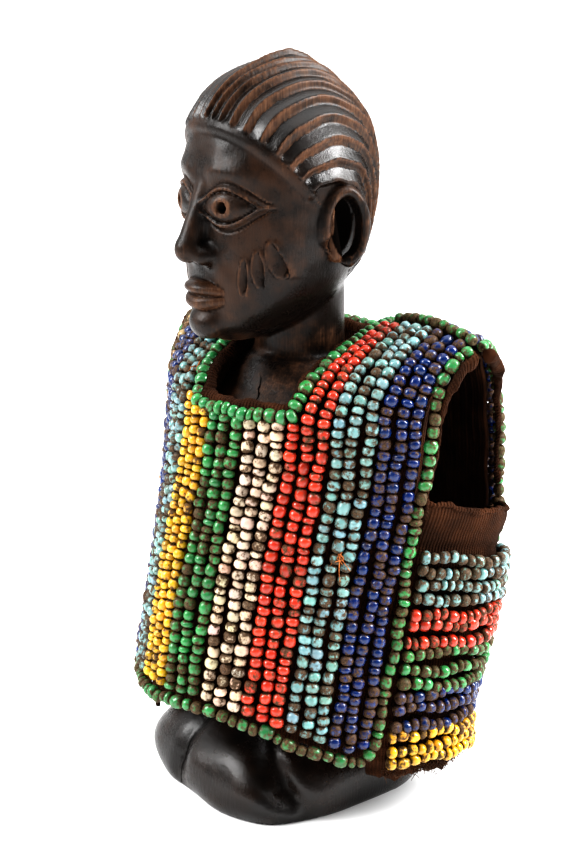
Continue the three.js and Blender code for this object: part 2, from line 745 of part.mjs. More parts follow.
function strandBand(face, group) {
  const steps = rowsOf(face).length - 1;
  const edge = 0.74;
  const section = ribbedSection(group.first, group.last, edge, STRAND_COUNT - 1 - edge);
  const geometry = new THREE.ExtrudeGeometry(section, { depth: 1, steps, bevelEnabled: false });
  return warp(geometry, (strand, height, along) => {
    const share = face > 0 ? along : 1 - along;
    const rise = THREE.MathUtils.clamp(rowRise(face, share), lowEnd(face, strand), BAND_TOP_RISE);
    return panelOffset(face, strand, rise, height);
  });
}

function gussetBand(side, group) {
  const section = ribbedSection(group.first, group.last);
  const steps = 4;
  const geometry = new THREE.ExtrudeGeometry(section, { depth: 1, steps, bevelEnabled: false });
  const edge = 0.065;
  return warp(geometry, (row, height, along) => {
    const share = lerp(edge, 1 - edge, side > 0 ? 1 - along : along);
    return gussetOffset(side, share, GUSSET.firstRow - row * GUSSET.pitch, height);
  });
}

// The green string down one armhole edge, along the hem with round corners and up the other edge.
function panelEdging(face) {
  const last = STRAND_COUNT - 1;
  const cornerRise = HEM_CORNER_RADIUS / 100;
  const cornerStrand = HEM_CORNER_RADIUS / STRAND_PITCH;
  const edgeRises = [1.93, 1.7, 1.4, 1.15, 0.9, 0.6, 0.3, cornerRise];
  const places = edgeRises.map((rise) => [0, rise]);
  places.push([cornerStrand * 0.3, cornerRise * 0.3]);
  for (let i = 0; i <= 6; i += 1) places.push([lerp(cornerStrand, last - cornerStrand, i / 6), 0]);
  places.push([last - cornerStrand * 0.3, cornerRise * 0.3]);
  for (const rise of edgeRises.toReversed()) places.push([last, rise]);
  const points = places.map(([strand, rise]) => panelOffset(face, strand, rise, 0));
  return tubeAlong(points, EDGING_RADIUS, 5, 30);
}

function seamEdging(nearSide) {
  const [start, end] = nearSide ? [0.2, 7.7] : [20.4, 25.8];
  const points = [];
  for (let i = 0; i <= 4; i += 1) {
    points.push(shoulderPoint(lerp(start, end, i / 4), 0).add(new THREE.Vector3(0, 0, 1.2)));
  }
  return tubeAlong(points, EDGING_RADIUS - 0.2, 5, 5);
}

// The green string round the neck opening.
function neckEdging() {
  const points = openingPlaces(0).map(([face, strand, rise]) => panelPoint(face, strand, rise));
  const loop = new THREE.CatmullRomCurve3(points, true, "centripetal");
  const steps = 30;
  const tube = 0.5;
  const geometry = new THREE.TorusGeometry(1, tube, 5, steps);
  return warp(geometry, (x, y, depth) => {
    const share = (Math.atan2(y, x) / (2 * Math.PI) + 1) % 1;
    const centre = loop.getPointAt(share);
    const tangent = loop.getTangentAt(share);
    const out = new THREE.Vector3(tangent.y, -tangent.x, 0).normalize();
    const up = out.clone().cross(tangent).normalize();
    const radial = (Math.hypot(x, y) - 1) / tube;
    return centre
      .addScaledVector(out, radial * EDGING_RADIUS)
      .addScaledVector(up, (depth / tube) * EDGING_RADIUS);
  });
}

// Assembly

const model = new THREE.Group();
model.name = "beaded_twin_figure";

function addMesh(parent, name, geometry, material) {
  const mesh = new THREE.Mesh(geometry, material);
  mesh.name = name;
  parent.add(mesh);
}

addMesh(model, "figure", buildFigure(), WOOD);

const tunic = new THREE.Group();
tunic.rotation.z = TUNIC_TURN * DEGREE;
tunic.position.copy(TUNIC_SHIFT);
model.add(tunic);

const clothCutter = openingCutter(0);
const beadCutter = openingCutter(EDGING_CLEARANCE / STRAND_PITCH);

function cutBy(geometry, cutter) {
  return toGeometry(toSolid(geometry).subtract(cutter));
}

for (const [face, label] of [[1, "front"], [-1, "back"]]) {
  addMesh(tunic, `cloth_${label}`, cutBy(clothPanel(face), clothCutter), CLOTH);
  addMesh(tunic, `edging_${label}`, panelEdging(face), BEAD_COLOURS.green);
  for (const group of PANEL_GROUPS) {
    const band = cutBy(strandBand(face, group), beadCutter);
    addMesh(tunic, `beads_${label}_${group.name}`, band, BEAD_COLOURS[group.colour]);
  }
}

for (const [side, label] of [[1, "left"], [-1, "right"]]) {
  addMesh(tunic, `cloth_gusset_${label}`, clothGusset(side), CLOTH);
  addMesh(tunic, `edging_shoulder_${label}`, seamEdging(side > 0), BEAD_COLOURS.green);
  for (const group of GUSSET_GROUPS) {
    const name = `beads_gusset_${label}_${group.name}`;
    addMesh(tunic, name, gussetBand(side, group), BEAD_COLOURS[group.colour]);
  }
}

addMesh(tunic, "edging_neck", neckEdging(), BEAD_COLOURS.green);

export default model;
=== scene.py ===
"""Looks of a carved wooden twin figure in a tunic of beaded cloth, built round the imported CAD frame.

Shapes are worked out in millimetres and turned into metres when a mesh is made. The figure faces -Y,
its left is +X, and the floor is z = 0.
"""

import math

import bpy
import numpy as np
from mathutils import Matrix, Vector


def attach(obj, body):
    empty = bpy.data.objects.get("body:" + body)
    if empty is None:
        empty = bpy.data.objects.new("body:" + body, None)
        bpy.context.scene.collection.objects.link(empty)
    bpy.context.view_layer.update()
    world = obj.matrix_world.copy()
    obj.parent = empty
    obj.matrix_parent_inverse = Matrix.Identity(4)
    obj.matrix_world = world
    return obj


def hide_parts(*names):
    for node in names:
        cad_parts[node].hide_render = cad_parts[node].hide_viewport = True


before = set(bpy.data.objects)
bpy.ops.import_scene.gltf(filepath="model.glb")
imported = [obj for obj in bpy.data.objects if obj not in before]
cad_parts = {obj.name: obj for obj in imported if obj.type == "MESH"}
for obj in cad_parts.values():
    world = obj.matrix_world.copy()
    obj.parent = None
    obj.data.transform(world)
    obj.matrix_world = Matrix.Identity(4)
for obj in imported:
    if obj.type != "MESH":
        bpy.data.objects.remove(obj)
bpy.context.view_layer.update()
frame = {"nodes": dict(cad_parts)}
MM = 0.001
RNG = np.random.default_rng(71)

# Camera, as fitted to the photograph
IMAGE_HEIGHT = 850
FOCAL_PIXELS = 1550.0
CAMERA_AZIMUTH = math.radians(55.0)
CAMERA_ELEVATION = math.radians(15.04)
CAMERA_DISTANCE = 540.07
CAMERA_TARGET = np.array([-1.3, -2.0, 140.4])
TARGET_ABOVE_CENTRE = 31.83
SENSOR = 36.0

# Soft boxes, in degrees, metres and watts, and the point that they face
LIGHTS = {
    "key": {"azimuth": -26, "elevation": 32, "distance": 0.95, "size": (0.4, 0.6), "power": 11.0},
    "rim": {"azimuth": 138, "elevation": 32, "distance": 0.9, "size": (0.3, 0.6), "power": 17.0},
}
LIGHT_TARGET = (0, 0, 0.135)
# Direction of the room's dark side
DARK_SIDE = (0.82, -0.57, 0)
FLOOR_HALF = 40000.0

# Wooden figure, the same driving sizes as the CAD source
BLOCK = {"half_width": 43.5, "half_depth": 44.5, "roundness": 3.1, "height": 31.0}
# Share of the block's height from which its top rounds over, and over which it does so
DOME_FROM = 0.25
DOME_REACH = 0.79
# The block's grooves: angle from the front, depth as a share of the block's size, and width
BLOCK_GROOVES = {"right": (-53, 0.12, 7), "front": (-7, 0.06, 5), "left": (55, 0.12, 7)}
LEFT_GROOVE_LEAN = 0.7
# Cracks in the wood's front, each from its top to its bottom, given by x and z
CHEST_CRACK = ((6.4, 152.0), (13.5, 141.5))
BLOCK_CRACK = ((-5.0, 20.0), (-5.3, -1.0))
NECK = {"y": 4.5, "radius": 15.5, "bottom": 138.0, "top": 186.0, "flare": 4.0}
CHIN = 163.5
HEAD_TOP = 253.7
HEAD_CENTRE = np.array([0.0, -3.0, 205.0])
# Share of the head's height, half width, front, back
HEAD_LEVELS = np.array([
    [0.0, 6.0, -28.0, -12.0],
    [0.07, 15.5, -33.5, 1.0],
    [0.18, 23.5, -35.0, 15.0],
    [0.32, 27.5, -35.0, 21.5],
    [0.5, 29.0, -35.0, 26.0],
    [0.66, 29.0, -35.0, 26.5],
    [0.8, 26.0, -31.5, 23.0],
    [0.92, 18.0, -22.5, 14.0],
    [0.98, 9.0, -10.0, 7.0],
    [1.0, 0.0, 0.0, 0.0],
])
HEAD_ROUNDNESS = 2.25
# Height, middle x, middle y, half width, half depth
TORSO = np.array([
    [44, 0, 4, 25, 21],
    [62, 0, 5, 27, 22],
    [88, 0, 6, 20, 17],
    [120, 0, 4, 24, 21],
    [138, 0, -1, 33, 26],
    [147, 0, 1, 28, 21],
    [155, 0, 3, 18, 17],
], float)
LEG = np.array([
    [14, 16, 2, 13, 16],
    [34, 15, 1, 12.5, 15],
    [50, 13, 4, 12, 16],
], float)
ARM = np.array([
    [70, 27, -3, 5, 7],
    [84, 29, 0, 6.5, 7],
    [106, 31, 8, 6.5, 7.5],
    [132, 31, 8, 7.5, 9],
    [146, 28, 7, 6, 8],
], float)
BODY_ROUNDNESS = 2.2
ARM_ROUNDNESS = 2.0

# Carved hair: locks as rings round the axis through the ears, polar degrees from that axis
RIDGES = 9
INNERMOST = 24.0
RIDGE_SPREAD = 1.25
LOCK_HEIGHT = 2.5
LOCK_VALLEY = 0.6
RISER_SHARE = 0.27
CREST = {"round": 92.0, "reach": 14.0, "peak": 1.4}
HAIRLINE = {"round": 47.0, "nape": 236.0, "thickness": 1.7, "fan_start": 150.0, "fan": 0.25}
EAR = {"y": 0.5, "z": 202.5, "half_height": 11.5, "half_width": 7.0, "rim": 2.3, "stand": 3.4}
EYE = {"x": 12.0, "z": 209.5, "half_width": 9.2, "half_height": 5.2, "bulge": 2.9}
LID = {"height": 1.5, "inner_crease": 0.35, "outer_crease": 0.45}
PUPIL = {"aside": 0.4, "depth": 3.2}
BROW = {"above_eye": 11.5, "height": 1.3, "half_thickness": 3.2}
MOUTH = {"half_width": 11.0, "reach": 10.6, "y": -35.2, "curve": 4.2}
TOOL_MARKS = 0.12
# Ends and radii of the bridge, centre and radius of the tip, centre and half sizes of the others
NOSE = {
    "bridge": ((0, -33.5, 214.5), (0, -39.8, 196.5), 2.8, 4.0),
    "tip": ((0, -40.6, 194.6), 4.0),
    "wing": ((4.6, -36.8, 193.2), (3.5, 4.0, 3.2)),
    "nostril": ((2.9, -39.6, 190.2), (1.4, 1.9, 1.5)),
}
# Height, half height, reach forwards and droop at the corners of the upper and the lower lip
LIPS = ((182.2, 2.5, 5.0, -0.8), (177.4, 2.8, 4.6, 1.4))
CHIN_BALL = ((0, -33.5, 170.0), (7.5, 5.0, 5.5))
# Place and lean of each mark on a cheek
CHEEK_MARKS = ((17.2, 187.0, 0.08), (21.0, 189.6, 0.0), (24.4, 192.8, -0.08))
CHEEK_MARK = {"half_height": 7.0, "half_width": 1.0, "rim": 0.5, "depth": 1.1}
# How far the corner is rounded where each part joins the rest or is cut out of it
BLENDS = {
    "legs": 3.0, "arms": 1.5, "trunk": 3.0, "neck": 4.0, "head": 2.2, "hair": 0.5, "hairline": 0.9,
    "nose": 3.2, "nose_tip": 2.0, "nose_wing": 2.6, "nostril": 0.5, "between_lips": 0.25, "lips": 0.7,
    "chin": 4.0, "ear_rim": 0.9, "ear_hollow": 0.8, "ear_leaf": 0.6,
}
# How far the patina is worn through, by place; on edges and on the rims of the locks its brown is partly a
# painted highlight
WEAR_AND_HIGHLIGHT = {"base": 0.14, "edges": 0.9, "neck": 0.3, "risers": 0.6, "rims": 0.42, "lips": 0.62, "ears": 0.8}
# Heights between which each part of the figure is asked for its distance
BODY_TOP = 172
NECK_REACH = (126, 196)
HEAD_BOTTOM = 150
# Height from which the wear of hair, face and ears is marked, with the painted highlights on the rims of the
# locks and the painted shade in the ear hollows
HEAD_MARKS_FROM = 165
# Lattice on which the figure's surface is found: cells to each side, spacing at some heights, and how
# many points are worked out at a time
LATTICE_HALF_COLUMNS = 58
LATTICE_HALF_ROWS = 65
LATTICE_HEIGHTS = [0, 38, 50, 128, 156, 170]
LATTICE_STEPS = [1.25, 1.25, 2.5, 2.5, 0.95, 0.68]
LATTICE_PART = 400000

# Tunic, in a frame of its own that is turned and moved on the figure
TUNIC_TURN = math.radians(8.4)
TUNIC_SHIFT = np.array([2.0, 2.7, 0.0])
# Height, half width, half depth, flare, setback of the section through the bead centres
SECTIONS = np.array([
    [35, 62, 56, 0.3, -7],
    [80, 64, 56, 0.41, 1],
    [120, 66, 49.5, 0.37, 6],
    [155, 66.5, 44.5, 0.31, 7.5],
], float)
SECTION_ROUNDNESS = 2.1
RING_STEPS = 180
STRAND_COUNT = 27
MIDDLE_STRAND = (STRAND_COUNT - 1) / 2
STRAND_PITCH = 5.0
FRONT_CENTRE_ARC = 11.0
# Where each string leaves the upright sections and curves over to the shoulder seam
BEND = {"z": 140.0, "lift": 18.0, "edge_lift": 5.0, "lean": 2.5}
SHOULDER = {"z": 166.0, "hump": 4.0, "near": 67.0, "spacing": 4.85, "y": 19.0, "drop": 4.0}
SEAM_GAP = 0.25
FRONT, BACK = 1, -1
LEFT, RIGHT = 1, -1
HEMS = {FRONT: (45.5, 25.0, 41.5), BACK: (28.0, 24.0, 26.0)}
HEM_CURVE = 1.35
GUSSET = {"top": 115.0, "bottom": 21.0, "first_row": 98.5, "pitch": 4.85, "sag": 4.0, "stretch": 0.09}
OPENING = {"near": 9.0, "far": 17.4, "far_top": 19.4, "front_rise": 1.09, "back_rise": 1.6, "corner": 0.12}
EDGING_CLEARANCE = 3.0
HEM_CORNER_RADIUS = 11.0
BAND_TOP_RISE = 1.9
CLOTH_OUTER = -3.0
CLOTH_THICKNESS = 1.3
PANEL_GRID = (110, 84)
GUSSET_GRID = (70, 44)
# Rows, drop and slant of the lining that hangs inside the neck ring
FACING = {"rows": 7, "drop": 13, "slant": 0.09}
ROLL_SIDES = 14
FIBRE_SIDES = 3
# Number in a place, radius and curl
GUSSET_FRAY = (330, 0.2, 0.7)
HEM_FRAY = (260, 0.2, 0.4)
STRAY_THREADS = (6, 0.26, 0.5)
THREAD_PLACES = [(FRONT, 18.6, 1.33), (FRONT, 4.8, 0.62), (BACK, 9.0, 0.6), (BACK, 17.5, 1.2)]
UP = np.array([0, 0, 1.0])
DOWN = -UP


def lerp(a, b, t):
    return a + (b - a) * t


def smoothstep(low, high, value):
    t = np.clip((value - low) / (high - low), 0, 1)
    return t * t * (3 - 2 * t)


def unit(vectors):
    length = np.linalg.norm(vectors, axis=-1, keepdims=True)
    return vectors / np.maximum(length, 1e-9)


def between(levels, at, column):
    """Smooth values of a column between named levels, held constant outside them."""
    keys = levels[:, 0]
    values = levels[:, column]
    last = len(keys) - 1
    at = np.clip(at, keys[0], keys[-1])
    low = np.clip(np.searchsorted(keys, at) - 1, 0, last - 1)
    high = low + 1
    before = np.maximum(low - 1, 0)
    after = np.minimum(low + 2, last)
    span = keys[high] - keys[low]
    slope_low = (values[high] - values[before]) / (keys[high] - keys[before])
    slope_high = (values[after] - values[low]) / (keys[after] - keys[low])
    t = (at - keys[low]) / span
    t2 = t * t
    t3 = t2 * t
    return (
        (2 * t3 - 3 * t2 + 1) * values[low]
        + (t3 - 2 * t2 + t) * span * slope_low
        + (3 * t2 - 2 * t3) * values[high]
        + (t3 - t2) * span * slope_high
    )


# Mesh helpers


def make_mesh(name, points, faces, materials, attributes=None, colours=None, face_materials=None):
    """A smooth-shaded mesh object from points in millimetres and a list of arrays of faces, in each of
    which all faces have one number of corners."""
    mesh = bpy.data.meshes.new(name)
    points = np.asarray(points, float)
    sizes = [np.shape(part)[1] for part in faces]
    loops = np.concatenate([np.asarray(part).ravel() for part in faces])
    counts = np.concatenate([np.full(len(part), size) for part, size in zip(faces, sizes)])
    mesh.vertices.add(len(points))
    mesh.vertices.foreach_set("co", (points * MM).astype(np.float32).ravel())
    mesh.loops.add(len(loops))
    mesh.loops.foreach_set("vertex_index", loops.astype(np.int32))
    mesh.polygons.add(len(counts))
    starts = np.concatenate([[0], np.cumsum(counts)[:-1]])
    mesh.polygons.foreach_set("loop_start", starts.astype(np.int32))
    mesh.polygons.foreach_set("loop_total", counts.astype(np.int32))
    if face_materials is not None:
        mesh.polygons.foreach_set("material_index", np.asarray(face_materials, np.int32))
    mesh.update(calc_edges=True)
    mesh.validate()
    mesh.polygons.foreach_set("use_smooth", np.ones(len(mesh.polygons), bool))
    for key, values in (attributes or {}).items():
        layer = mesh.attributes.new(key, "FLOAT", "POINT")
        layer.data.foreach_set("value", np.asarray(values, np.float32))
    for key, values in (colours or {}).items():
        layer = mesh.color_attributes.new(key, "FLOAT_COLOR", "POINT")
        rgba = np.concatenate([values, np.ones((len(values), 1))], axis=1)
        layer.data.foreach_set("color", rgba.astype(np.float32).ravel())
    for material in materials:
        mesh.materials.append(material)
    piece = bpy.data.objects.new(name, mesh)
    bpy.context.scene.collection.objects.link(piece)
    return piece


def add_piece(piece, slot, *nodes):
    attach(piece, "root")
    if nodes:
        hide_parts(*nodes)
    return piece


def grid_faces(rows, columns, closed=False):
    """Four-cornered faces of a grid of points, row by row."""
    wide = columns if closed else columns - 1
    r, c = np.meshgrid(np.arange(rows - 1), np.arange(wide), indexing="ij")
    r, c = r.ravel(), c.ravel()
    after = (c + 1) % columns
    row, row_above = r * columns, (r + 1) * columns
    return np.stack([row + c, row + after, row_above + after, row_above + c], 1)


def circle(steps):
    return math.tau * np.arange(steps) / steps


def ring_vectors(angle, side, up):
    """Unit vectors round each point of a path, at each angle from side towards up."""
    return np.cos(angle)[None, :, None] * side[:, None] + np.sin(angle)[None, :, None] * up[:, None]


def superellipse_size(x, y, roundness):
    """1 on a superellipse of half sizes 1."""
    return (x ** roundness + y ** roundness) ** (1 / roundness)


def view_direction(azimuth, elevation):
    """From the figure outwards; azimuth 0 is in front, positive to its left."""
    return np.array([
        math.sin(azimuth) * math.cos(elevation),
        -math.cos(azimuth) * math.cos(elevation),
        math.sin(elevation),
    ])


# Materials


def math_node(tree, operation, a, b):
    node = tree.nodes.new("ShaderNodeMath")
    node.operation = operation
    for socket, value in zip(node.inputs, (a, b)):
        if isinstance(value, (int, float)):
            socket.default_value = value
        else:
            tree.links.new(value, socket)
    return node.outputs[0]


def range_node(tree, value, limits):
    """A node that maps a value between the first two limits to between the last two."""
    node = tree.nodes.new("ShaderNodeMapRange")
    tree.links.new(value, node.inputs["Value"])
    for socket, number in zip(list(node.inputs)[1:5], limits):
        socket.default_value = number
    return node


class Shader:
    """A node material under construction, with short names for the nodes used here."""

    def __init__(self, name, **surface):
        self.material = bpy.data.materials.new(name)
        self.material.use_nodes = True
        self.tree = self.material.node_tree
        self.nodes = self.tree.nodes
        self.surface = self.nodes["Principled BSDF"]
        for socket, value in surface.items():
            self.surface.inputs[socket.replace("_", " ")].default_value = value
        self.coordinates = self.nodes.new("ShaderNodeTexCoord").outputs["Object"]

    def link(self, source, target):
        self.tree.links.new(source, target)

    def attribute(self, name, output="Fac"):
        node = self.nodes.new("ShaderNodeAttribute")
        node.attribute_name = name
        return node.outputs[output]

    def stretch(self, scale):
        node = self.nodes.new("ShaderNodeMapping")
        node.inputs["Scale"].default_value = scale
        self.link(self.coordinates, node.inputs["Vector"])
        return node.outputs["Vector"]

    def noise(self, scale, detail=4.0, roughness=0.6, vector=None, distortion=0.0):
        node = self.nodes.new("ShaderNodeTexNoise")
        node.inputs["Scale"].default_value = scale
        node.inputs["Detail"].default_value = detail
        node.inputs["Roughness"].default_value = roughness
        node.inputs["Distortion"].default_value = distortion
        self.link(vector or self.coordinates, node.inputs["Vector"])
        return node.outputs["Fac"]

    def crack(self, top, bottom, wobble):
        """1 along a thin, crooked crack in the figure's front, between two points given by x and z."""
        node = self.nodes.new("ShaderNodeSeparateXYZ")
        self.link(self.coordinates, node.inputs["Vector"])
        x, y, z = node.outputs
        slope = (top[0] - bottom[0]) / (top[1] - bottom[1])
        straight = self.math("ADD", self.math("MULTIPLY", z, slope), (top[0] - top[1] * slope) * MM)
        crooked = self.vary(self.math("SUBTRACT", x, straight), self.noise(230.0, 4.0), wobble * MM)
        offset = self.math("ABSOLUTE", crooked)
        line = self.remap(offset, 0.1 * MM, 0.42 * MM, 1.0, 0.0)
        for value, start, end in ((z, bottom[1], bottom[1] + 2), (z, top[1], top[1] - 4), (y, -4, -8)):
            line = self.math("MULTIPLY", line, self.remap(value, start * MM, end * MM))
        return line

    def math(self, operation, a, b=0.0):
        return math_node(self.tree, operation, a, b)

    def remap(self, value, low, high, start=0.0, end=1.0):
        node = range_node(self.tree, value, (low, high, start, end))
        node.interpolation_type = "SMOOTHSTEP"
        return node.outputs["Result"]

    def vary(self, base, noise, amount):
        """The base raised and lowered by a noise whose middle is 0.5."""
        return self.math("ADD", base, self.math("MULTIPLY", self.math("SUBTRACT", noise, 0.5), amount))

    def mix(self, factor, a, b):
        node = self.nodes.new("ShaderNodeMix")
        node.data_type = "RGBA"
        self.link(factor, node.inputs[0])
        for socket, value in ((node.inputs[6], a), (node.inputs[7], b)):
            if isinstance(value, tuple):
                socket.default_value = (*value, 1.0)
            else:
                self.link(value, socket)
        return node.outputs[2]

    def bump(self, height, strength, distance, before=None):
        node = self.nodes.new("ShaderNodeBump")
        node.inputs["Strength"].default_value = strength
        node.inputs["Distance"].default_value = distance
        self.link(height, node.inputs["Height"])
        if before is not None:
            self.link(before, node.inputs["Normal"])
        return node.outputs["Normal"]

    def finish(self, **linked):
        """Links the surface's sockets, named with _ for a space, and returns the material."""
        for socket, value in linked.items():
            self.link(value, self.surface.inputs[socket.replace("_", " ")])
        return self.material


BLACK_PATINA = (0.0085, 0.006, 0.0048)
BROWN_PATINA = (0.034, 0.016, 0.0085)
# Near black painted as shade in the hollows, and the colour of the cracks
SHADE_AND_CRACK_BLACK = (0.004, 0.003, 0.0026)
POLISHED_BLACK = (0.0055, 0.0045, 0.004)
DARK_WOOD = (0.06, 0.024, 0.011)
# Bare wood where the patina is worn, also painted as a highlight on edges and rims
BARE_WOOD_AND_HIGHLIGHT = (0.12, 0.06, 0.031)
# Brown of the grime on the beads, also painted as shade where beads meet
GRIME_AND_SHADE_BROWN = (0.125, 0.072, 0.038)
DARK_GRIME_AND_SHADE = (0.03, 0.017, 0.009)
DARK_COTTON = (0.024, 0.0095, 0.0045)
LIGHT_COTTON = (0.068, 0.026, 0.011)
COTTON_GAPS = (0.014, 0.007, 0.004)
COTTON_FUZZ = (0.11, 0.048, 0.023)
THREAD_WIDTHS = {"across": 1.2, "along": 0.9}


def wood_material():
    """Black, oiled patina that is worn through to red-brown wood on the carving's faces; on edges and rims
    that brown is partly a painted highlight, and hollows and pupils are painted near-black as shade.
    """
    shader = Shader("carved_wood", Coat_Roughness=0.13)
    grain = shader.noise(1.0, 5.0, 0.65, shader.stretch((1500.0, 1500.0, 70.0)))
    mottle = shader.noise(110.0, 6.0, 0.65)
    broad = shader.noise(26.0, 3.0, 0.55, None, 0.4)
    smoky = shader.vary(broad, mottle, 0.7)
    patina = shader.mix(shader.remap(smoky, 0.4, 0.72), BLACK_PATINA, BROWN_PATINA)
    # The worn mask also carries the painted highlights on edges and on the rims of the locks
    streaked = shader.vary(shader.vary(shader.attribute("worn"), mottle, 1.3), grain, 0.45)
    bare_and_highlight = shader.mix(shader.remap(grain, 0.35, 0.68), DARK_WOOD, BARE_WOOD_AND_HIGHLIGHT)
    shown = shader.remap(streaked, 0.3, 0.95, 0.0, 0.9)
    colour = shader.mix(shown, patina, bare_and_highlight)
    # Painted shade: hollows, ear hollows and pupils turn near black, and so do the cracks
    hollow = shader.remap(shader.attribute("hollow"), 0.1, 0.9)
    cracks = shader.math("MAXIMUM", shader.crack(*CHEST_CRACK, 4.0), shader.crack(*BLOCK_CRACK, 3.0))
    hollow = shader.math("MAXIMUM", hollow, cracks)
    colour = shader.mix(hollow, colour, SHADE_AND_CRACK_BLACK)
    polish = shader.attribute("polish")
    colour = shader.mix(shader.remap(polish, 0.1, 0.7, 0.0, 0.75), colour, POLISHED_BLACK)
    gloss = shader.remap(mottle, 0.3, 0.72, 0.24, 0.42)
    dull = shader.math("MULTIPLY", shader.math("ADD", shown, hollow), 0.25)
    smooth = shader.math("MULTIPLY", polish, -0.14)
    roughness = shader.math("ADD", shader.math("ADD", gloss, dull), smooth)
    fibre = shader.bump(grain, 0.55, 0.0003)
    pits = shader.bump(mottle, 0.35, 0.0006, fibre)
    split = shader.bump(shader.math("SUBTRACT", 1.0, cracks), 1.0, 0.0008, pits)
    sheen = shader.remap(polish, 0.2, 1.0, 0.15, 0.42)
    return shader.finish(
        Base_Color=colour,
        Roughness=roughness,
        Normal=split,
        # The painted shade in the hollows and the cracks reflect nothing
        Specular_IOR_Level=shader.math("MULTIPLY", shader.math("SUBTRACT", 1.0, hollow), sheen),
        Coat_Weight=shader.remap(hollow, 0.2, 0.9, 0.07, 0.0),
    )


def bead_material():
    """Opaque glass whose clean patches stand out of baked-on brown grime; the grime's brown is also painted
    as shade towards each bead's ends, where it meets its neighbours.
    """
    shader = Shader("bead_glass", Coat_Roughness=0.1)
    glass = shader.attribute("bead_colour", "Color")
    # Level of grime at each point, with the painted shade towards the bead ends
    dirt = shader.attribute("dirt")
    blotch = shader.noise(620.0, 4.0, 0.6)
    fine = shader.noise(2600.0, 3.0, 0.6)
    level = shader.vary(shader.vary(dirt, blotch, 2.6), fine, 0.7)
    covered = shader.remap(level, 0.42, 0.66)
    film = shader.remap(level, 0.1, 0.5, 0.0, 0.4)
    grime = shader.mix(shader.remap(fine, 0.35, 0.7), DARK_GRIME_AND_SHADE, GRIME_AND_SHADE_BROWN)
    tinted = shader.mix(shader.remap(blotch, 0.4, 0.6, 0.08, 0.02), grime, glass)
    cleaner = shader.mix(film, glass, tinted)
    colour = shader.mix(covered, cleaner, tinted)
    return shader.finish(
        Base_Color=colour,
        Roughness=shader.remap(level, 0.1, 0.7, 0.17, 0.6),
        Normal=shader.bump(blotch, 0.25, 0.0004),
        Specular_IOR_Level=shader.remap(level, 0.2, 0.65, 0.42, 0.15),
        Coat_Weight=shader.remap(level, 0.2, 0.6, 0.2, 0.03),
    )


def thread_material(name, dark, light):
    shader = Shader(name, Roughness=0.9, Specular_IOR_Level=0.2)
    twist = shader.noise(1500.0, 3.0, 0.6)
    colour = shader.mix(shader.remap(twist, 0.3, 0.7), dark, light)
    return shader.finish(Base_Color=colour, Normal=shader.bump(twist, 0.5, 0.0002))


def cloth_material():
    """Brown, plain-woven cotton, dirty and rubbed, with its weave as crossed waves along the cloth."""
    shader = Shader("brown_cotton", Roughness=0.92, Specular_IOR_Level=0.1)
    across = shader.attribute("warp")
    along = shader.attribute("weft")
    ribs = shader.math("SINE", shader.math("MULTIPLY", across, math.tau / THREAD_WIDTHS["across"]))
    picks = shader.math("SINE", shader.math("MULTIPLY", along, math.tau / THREAD_WIDTHS["along"]))
    threads = shader.math("MULTIPLY", ribs, shader.math("ADD", shader.math("MULTIPLY", picks, 0.35), 0.65))
    stain = shader.noise(70.0, 5.0, 0.6)
    fuzz = shader.noise(1800.0, 4.0, 0.7)
    colour = shader.mix(shader.remap(stain, 0.35, 0.7), DARK_COTTON, LIGHT_COTTON)
    colour = shader.mix(shader.remap(threads, -1.0, 0.6, 0.5, 0.0), colour, COTTON_GAPS)
    colour = shader.mix(shader.remap(fuzz, 0.55, 0.8, 0.0, 0.35), colour, COTTON_FUZZ)
    weave = shader.bump(threads, 0.8, 0.0004)
    return shader.finish(Base_Color=colour, Normal=shader.bump(fuzz, 0.5, 0.0004, weave))


WOOD = wood_material()
GLASS = bead_material()
COTTON = cloth_material()
STRING = thread_material("bead_string", (0.03, 0.016, 0.01), (0.12, 0.065, 0.038))
ORANGE = thread_material("orange_thread", (0.2, 0.055, 0.016), (0.5, 0.19, 0.06))


# Wooden figure as a distance field, negative inside


def join(a, b, blend):
    """Union of two distance fields with a rounded inner corner."""
    h = np.clip(0.5 + 0.5 * (b - a) / blend, 0, 1)
    return lerp(b, a, h) - blend * h * (1 - h)


def cut(a, b, blend):
    return -join(-a, b, blend)


def bump_at(value, centre, width):
    return np.exp(-(((value - centre) / width) ** 2))


def capsule(p, start, end, radius_start, radius_end):
    start, end = np.array(start, float), np.array(end, float)
    axis = end - start
    t = np.clip(((p - start) @ axis) / (axis @ axis), 0, 1)
    return np.linalg.norm(p - start - t[:, None] * axis, axis=1) - lerp(radius_start, radius_end, t)


def ellipsoid(p, centre, half):
    q = (p - np.array(centre)) / np.array(half)
    size = np.linalg.norm(q, axis=1)
    slope = np.linalg.norm(q / np.array(half), axis=1)
    return size * (size - 1) / np.maximum(slope, 1e-6)


def loft_distance(p, levels, roundness, side=1.0):
    z = np.clip(p[:, 2], levels[0, 0], levels[-1, 0])
    half_width = between(levels, z, 3)
    half_depth = between(levels, z, 4)
    x = np.abs(p[:, 0] * side - between(levels, z, 1)) / half_width
    y = np.abs(p[:, 1] - between(levels, z, 2)) / half_depth
    flat = (superellipse_size(x, y, roundness) - 1) * np.minimum(half_width, half_depth)
    past = np.maximum(levels[0, 0] - p[:, 2], p[:, 2] - levels[-1, 0])
    return np.where(past > 0, np.hypot(np.maximum(flat, 0), past), flat)


